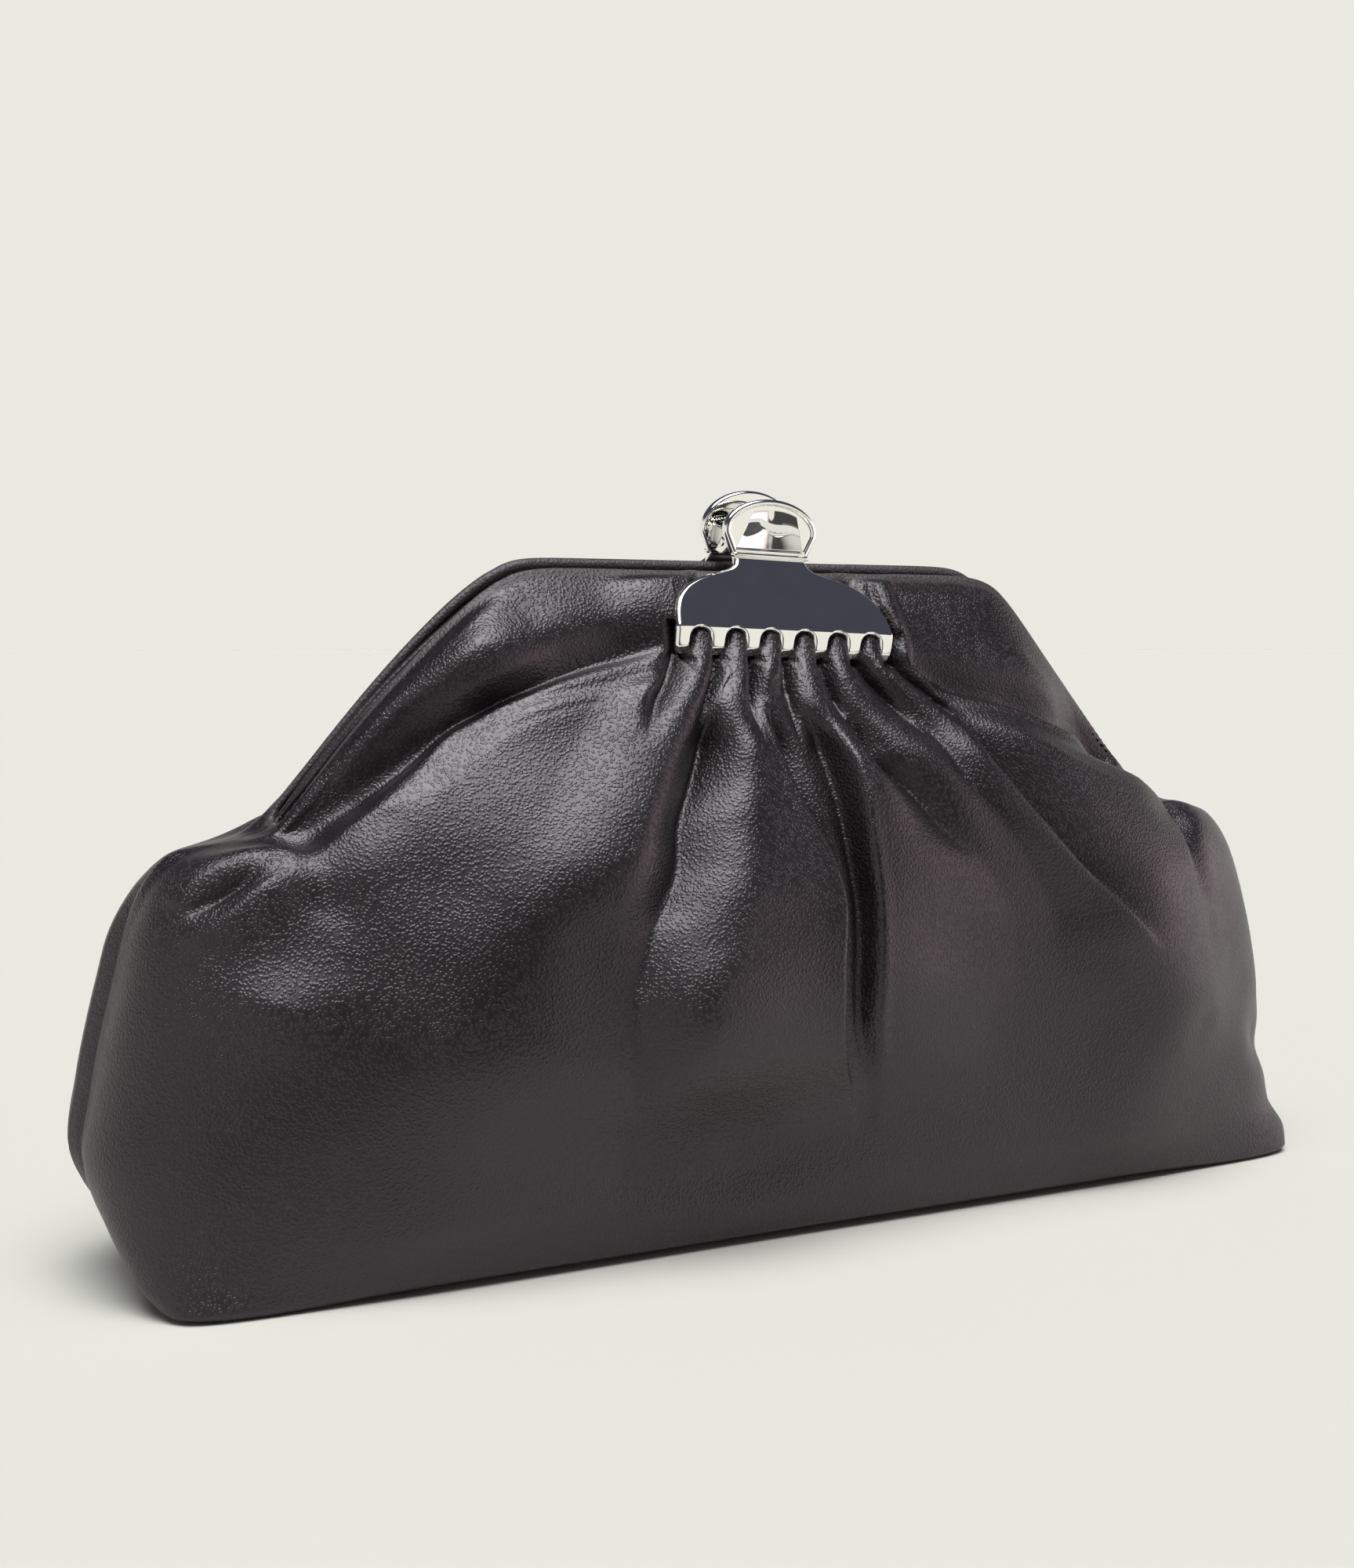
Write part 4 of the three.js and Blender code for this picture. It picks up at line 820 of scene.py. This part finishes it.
def rounded_bar(x0, x1, cy, ct, ry, rt, n=16, ends=5):
    """Bar along x with rounded ends and section."""
    rings = []
    for k in range(ends + 1):
        a = math.pi / 2 * k / ends
        rings.append((x0 + 0.5 * (1 - math.sin(a)), 0.35 + 0.65 * math.sin(a)) if k else (x0 + 0.5, 0.35))
    rings = [(x0, 0.55), (x0 + 0.12, 0.8), (x0 + 0.35, 0.95), (x0 + 0.7, 1.0), (x1 - 0.7, 1.0), (x1 - 0.35, 0.95), (x1 - 0.12, 0.8), (x1, 0.55)]
    pts, faces = [], []
    for x, s in rings:
        for k in range(n):
            a = 2 * math.pi * k / n
            c, q = math.cos(a), math.sin(a)
            pts.append((x, cy + ry * s * math.copysign(abs(c) ** 0.6, c), ct + rt * s * math.copysign(abs(q) ** 0.6, q)))
    for r in range(len(rings) - 1):
        for k in range(n):
            a, b = r * n + k, r * n + (k + 1) % n
            faces.append([a, b, b + n, a + n][::-1])
    faces.append(list(range(n)))
    faces.append([(len(rings) - 1) * n + k for k in range(n)][::-1])
    return np.array(pts, float), faces


def lug(x0, x1):
    """Hinge ear: a rounded plate round the pin that runs out to the jaw."""
    ring = [(3.0 * math.cos(a), 3.0 * math.sin(a)) for a in np.linspace(math.pi / 2, 3 * math.pi / 2, 24)]
    loop = ring + [(5.8, -2.0), (5.8, 4.0)]                 # distance out, height
    pts, faces = [], []
    n = len(loop)
    for x, s in ((x0, 0.0), (x0 + 0.2, 0.22), (x1 - 0.2, 0.22), (x1, 0.0)):
        for w, t in loop:
            f = 1 - (0.22 - s) / 3.0
            pts.append((x, -(w * f), t * f))
    for r in range(3):
        for k in range(n):
            a, b = r * n + k, r * n + (k + 1) % n
            faces.append([a, b, b + n, a + n])
    faces.append(list(range(n))[::-1])
    faces.append([3 * n + k for k in range(n)])
    return np.array(pts, float), faces


PLATE_EDGE = [(0.85, 0.0), (0.76, 0.01), (0.67, 0.04), (0.56, 0.10), (0.40, 0.23), (0.26, 0.36), (0.15, 0.49), (0.07, 0.63), (0.015, 0.81), (0.0, 1.0)]
PLATE_INNER = [(0.35, PLATE_THICK), (0.16, PLATE_THICK - 0.06), (0.05, PLATE_THICK - 0.18), (0.0, PLATE_THICK - 0.38)]
TAB_EDGE = [(1.75, 0.50), (1.55, 0.49), (1.42, 0.42), (1.34, 0.30), (1.28, 0.16), (1.20, 0.05), (1.08, 0.0), (0.78, 0.0), (0.52, 0.05), (0.30, 0.17), (0.13, 0.37), (0.03, 0.62), (0.0, 0.85)]
TAB_INNER = [(0.6, 2.3), (0.3, 2.2), (0.1, 1.95), (0.0, 1.65)]


def jaw_object(name, side, lug_x):
    plate = shell(smooth_loop(plate_outline(), 2), PLATE_EDGE, PLATE_INNER, on_jaw, np.r_[np.arange(-26.4, -24.9, 0.25), np.arange(-24.9, -23.7, 0.12), np.arange(-23.7, -20.3, 0.4), np.arange(-20.3, -18.4, 0.1), np.arange(-18.4, -2.3, 0.4)])
    tab = shell(smooth_loop(tab_outline(BACK_TAB_EXTRA if side > 0 else 0.0), 3), TAB_EDGE, TAB_INNER, on_tab, [])
    parts = [plate, tab, rounded_bar(-10.5, 10.5, -(TAB["face"] - 0.35), TAB["foot"] - 0.1, 1.0, 0.62),
             rounded_bar(-9.9, 9.9, -(TAB["face"] - 0.75), TAB["foot"] - 1.0, 0.8, 0.5)]
    for s in (-1, 1):
        x0 = s * lug_x if s > 0 else -lug_x - 2.0
        parts.append(lug(x0, x0 + 2.0))
    points, faces = merge(parts)
    if side > 0:
        points = points * np.array([1, -1, 1])
        faces = [f[::-1] for f in faces]
    ob = make_object(name, clip_world(points), faces, nickel)
    bm = bmesh.new()
    bm.from_mesh(ob.data)
    # no slivers where a cut passed close to a corner
    bmesh.ops.dissolve_degenerate(bm, dist=1e-6, edges=bm.edges[:])
    bmesh.ops.triangulate(bm, faces=bm.faces[:])
    bmesh.ops.dissolve_degenerate(bm, dist=1e-6, edges=bm.edges[:])
    same = {}
    for f in bm.faces:
        same.setdefault(frozenset(v.index for v in f.verts), []).append(f)
    double = [f for group in same.values() if len(group) > 1 for f in group]
    if double:
        bmesh.ops.delete(bm, geom=double, context="FACES")
    bmesh.ops.recalc_face_normals(bm, faces=bm.faces)
    bm.to_mesh(ob.data)
    bm.free()
    return ob


front_jaw = jaw_object("clip_front_jaw", -1, 5.3)
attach(front_jaw, "bag")
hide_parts("clip_front")
back_jaw = jaw_object("clip_back_jaw", 1, 7.7)
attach(back_jaw, "clip_lever")
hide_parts("clip_back")


def pin_object():
    half = 10.1
    prof = [(0.0, 0.55), (0.1, 0.9), (0.35, 1.2), (0.6, 1.3), (2 * half - 0.6, 1.3), (2 * half - 0.35, 1.2), (2 * half - 0.1, 0.9), (2 * half, 0.55)]
    n = 28
    pts = [(-half + x, r * math.cos(2 * math.pi * k / n), r * math.sin(2 * math.pi * k / n)) for x, r in prof for k in range(n)]
    faces = [[r * n + k, r * n + (k + 1) % n, (r + 1) * n + (k + 1) % n, (r + 1) * n + k] for r in range(len(prof) - 1) for k in range(n)]
    faces += [list(range(n)), [(len(prof) - 1) * n + k for k in range(n)][::-1]]
    ob = make_object("clip_hinge_pin", clip_world(np.array(pts)), faces, nickel)
    bm = bmesh.new(); bm.from_mesh(ob.data); bmesh.ops.recalc_face_normals(bm, faces=bm.faces); bm.to_mesh(ob.data); bm.free()
    return ob


def spring_object():
    half, turns, radius, wire, sides = 4.4, 5, 2.25, 0.45, 12
    steps = turns * 40
    pts = []
    for i in range(steps + 1):
        a = 2 * math.pi * turns * i / steps
        x = -half + 2 * half * i / steps
        for k in range(sides):
            b = 2 * math.pi * k / sides
            r = radius + wire * math.cos(b)
            pts.append((x + wire * math.sin(b), r * math.cos(a), r * math.sin(a)))
    faces = [[i * sides + k, i * sides + (k + 1) % sides, (i + 1) * sides + (k + 1) % sides, (i + 1) * sides + k] for i in range(steps) for k in range(sides)]
    faces += [list(range(sides)), [steps * sides + k for k in range(sides)][::-1]]
    ob = make_object("clip_coil_spring", clip_world(np.array(pts)), faces, steel)
    bm = bmesh.new(); bm.from_mesh(ob.data); bmesh.ops.recalc_face_normals(bm, faces=bm.faces); bm.to_mesh(ob.data); bm.free()
    return ob


pin = pin_object()
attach(pin, "bag")
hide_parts("clip_pin")
spring = spring_object()
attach(spring, "bag")
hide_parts("clip_spring")

# ------------------------------------------------------------------ stage
PALE = (0.815, 0.815, 0.753)


def floor_material():
    m, nt, bsdf = new_material("pale_floor")
    L = nt.links
    co = node(nt, "ShaderNodeTexCoord").outputs["Object"]
    n = node(nt, "ShaderNodeTexNoise", in_Scale=3.0, in_Detail=2.0)
    L.new(co, n.inputs["Vector"])
    tone = ramp(nt, n.outputs["Fac"], [(0.3, tuple(c * FLOOR_SHARE * 0.997 for c in FLOOR_TINT)), (0.7, tuple(c * FLOOR_SHARE * 1.003 for c in FLOOR_TINT))])
    L.new(tone.outputs["Color"], bsdf.inputs["Base Color"])
    bsdf.inputs["Roughness"].default_value = 1.0
    bsdf.inputs["Specular IOR Level"].default_value = 0.0
    return m


FLOOR_SHARE = 0.655
FLOOR_TINT = (PALE[0] * 1.033, PALE[1] * 0.969, PALE[2] * 1.014)
floor = make_object("floor", [(-60000, -262, 0), (60000, -262, 0), (60000, 60000, 0), (-60000, 60000, 0)], [[0, 1, 2, 3]], floor_material())

# ------------------------------------------------------------------ light and camera
# a wide softbox overhead and a little to the front left, pale walls to the sides and behind, a dark room in front
KEY_TOWARD = Vector((-0.094, -0.259, 0.961))
KEY_LIGHT = 9.6
world = bpy.data.worlds.new("studio")
bpy.context.scene.world = world
world.use_nodes = True
wn = world.node_tree
W = wn.links
bg = next(n for n in wn.nodes if n.type == "BACKGROUND")
toward = node(wn, "ShaderNodeTexCoord").outputs["Generated"]


def facing(direction, low, high):
    """0 to 1 as the ray turns to the direction, by cosine."""
    dot = node(wn, "ShaderNodeVectorMath", operation="DOT_PRODUCT")
    dot.inputs[1].default_value = direction
    W.new(toward, dot.inputs[0])
    out = node(wn, "ShaderNodeMapRange", interpolation_type="SMOOTHSTEP")
    out.inputs["From Min"].default_value, out.inputs["From Max"].default_value = low, high
    W.new(dot.outputs["Value"], out.inputs["Value"])
    return out.outputs["Result"]


def blend_light(factor, a, b):
    mix = node(wn, "ShaderNodeMix", data_type="RGBA")
    W.new(factor, mix.inputs["Factor"])
    for slot, v in ((6, a), (7, b)):
        if isinstance(v, tuple):
            mix.inputs[slot].default_value = (*v, 1)
        else:
            W.new(v, mix.inputs[slot])
    return mix.outputs[2]


DARK = (0.056, 0.057, 0.078)
walls = blend_light(facing((0, -1, 0), 0.70, 0.0), (0.06, 0.06, 0.06), PALE)
walls = blend_light(facing((-0.94, -0.342, 0), 0.5, 1.0), walls, (0.80, 0.80, 0.76))
walls = blend_light(facing((0.95, -0.31, 0), 0.80, 0.975), walls, (1.70, 1.46, 1.50))
walls = blend_light(facing((0.513, -0.857, 0.05), 0.965, 0.984), walls, (0.90, 0.885, 0.82))
walls = blend_light(facing((0.527, -0.825, -0.205), 0.976, 0.991), walls, (0.88, 0.865, 0.80))
room = blend_light(facing((0, 0, 1), 0.242, 0.438), walls, DARK)
lit = blend_light(facing(tuple(KEY_TOWARD), 0.84, 1.0), room, (0.965 * KEY_LIGHT, 1.035 * KEY_LIGHT, 0.985 * KEY_LIGHT))
seen = node(wn, "ShaderNodeLightPath").outputs["Is Camera Ray"]
W.new(blend_light(seen, lit, PALE), bg.inputs["Color"])
bg.inputs["Strength"].default_value = 1.0

cam_data = bpy.data.cameras.new("view")
cam_data.lens = 2594.35 / 2000 * 36
cam_data.sensor_width = 36
cam_data.clip_start = 0.01
cam = bpy.data.objects.new("view", cam_data)
cam.location = (-0.2550, -0.43652, 0.1381)
cam.rotation_euler = Vector((0.4755, 0.8771, -0.0677)).to_track_quat("-Z", "Y").to_euler()
bpy.context.scene.collection.objects.link(cam)
bpy.context.scene.camera = cam
bpy.context.scene.view_settings.view_transform = "Standard"
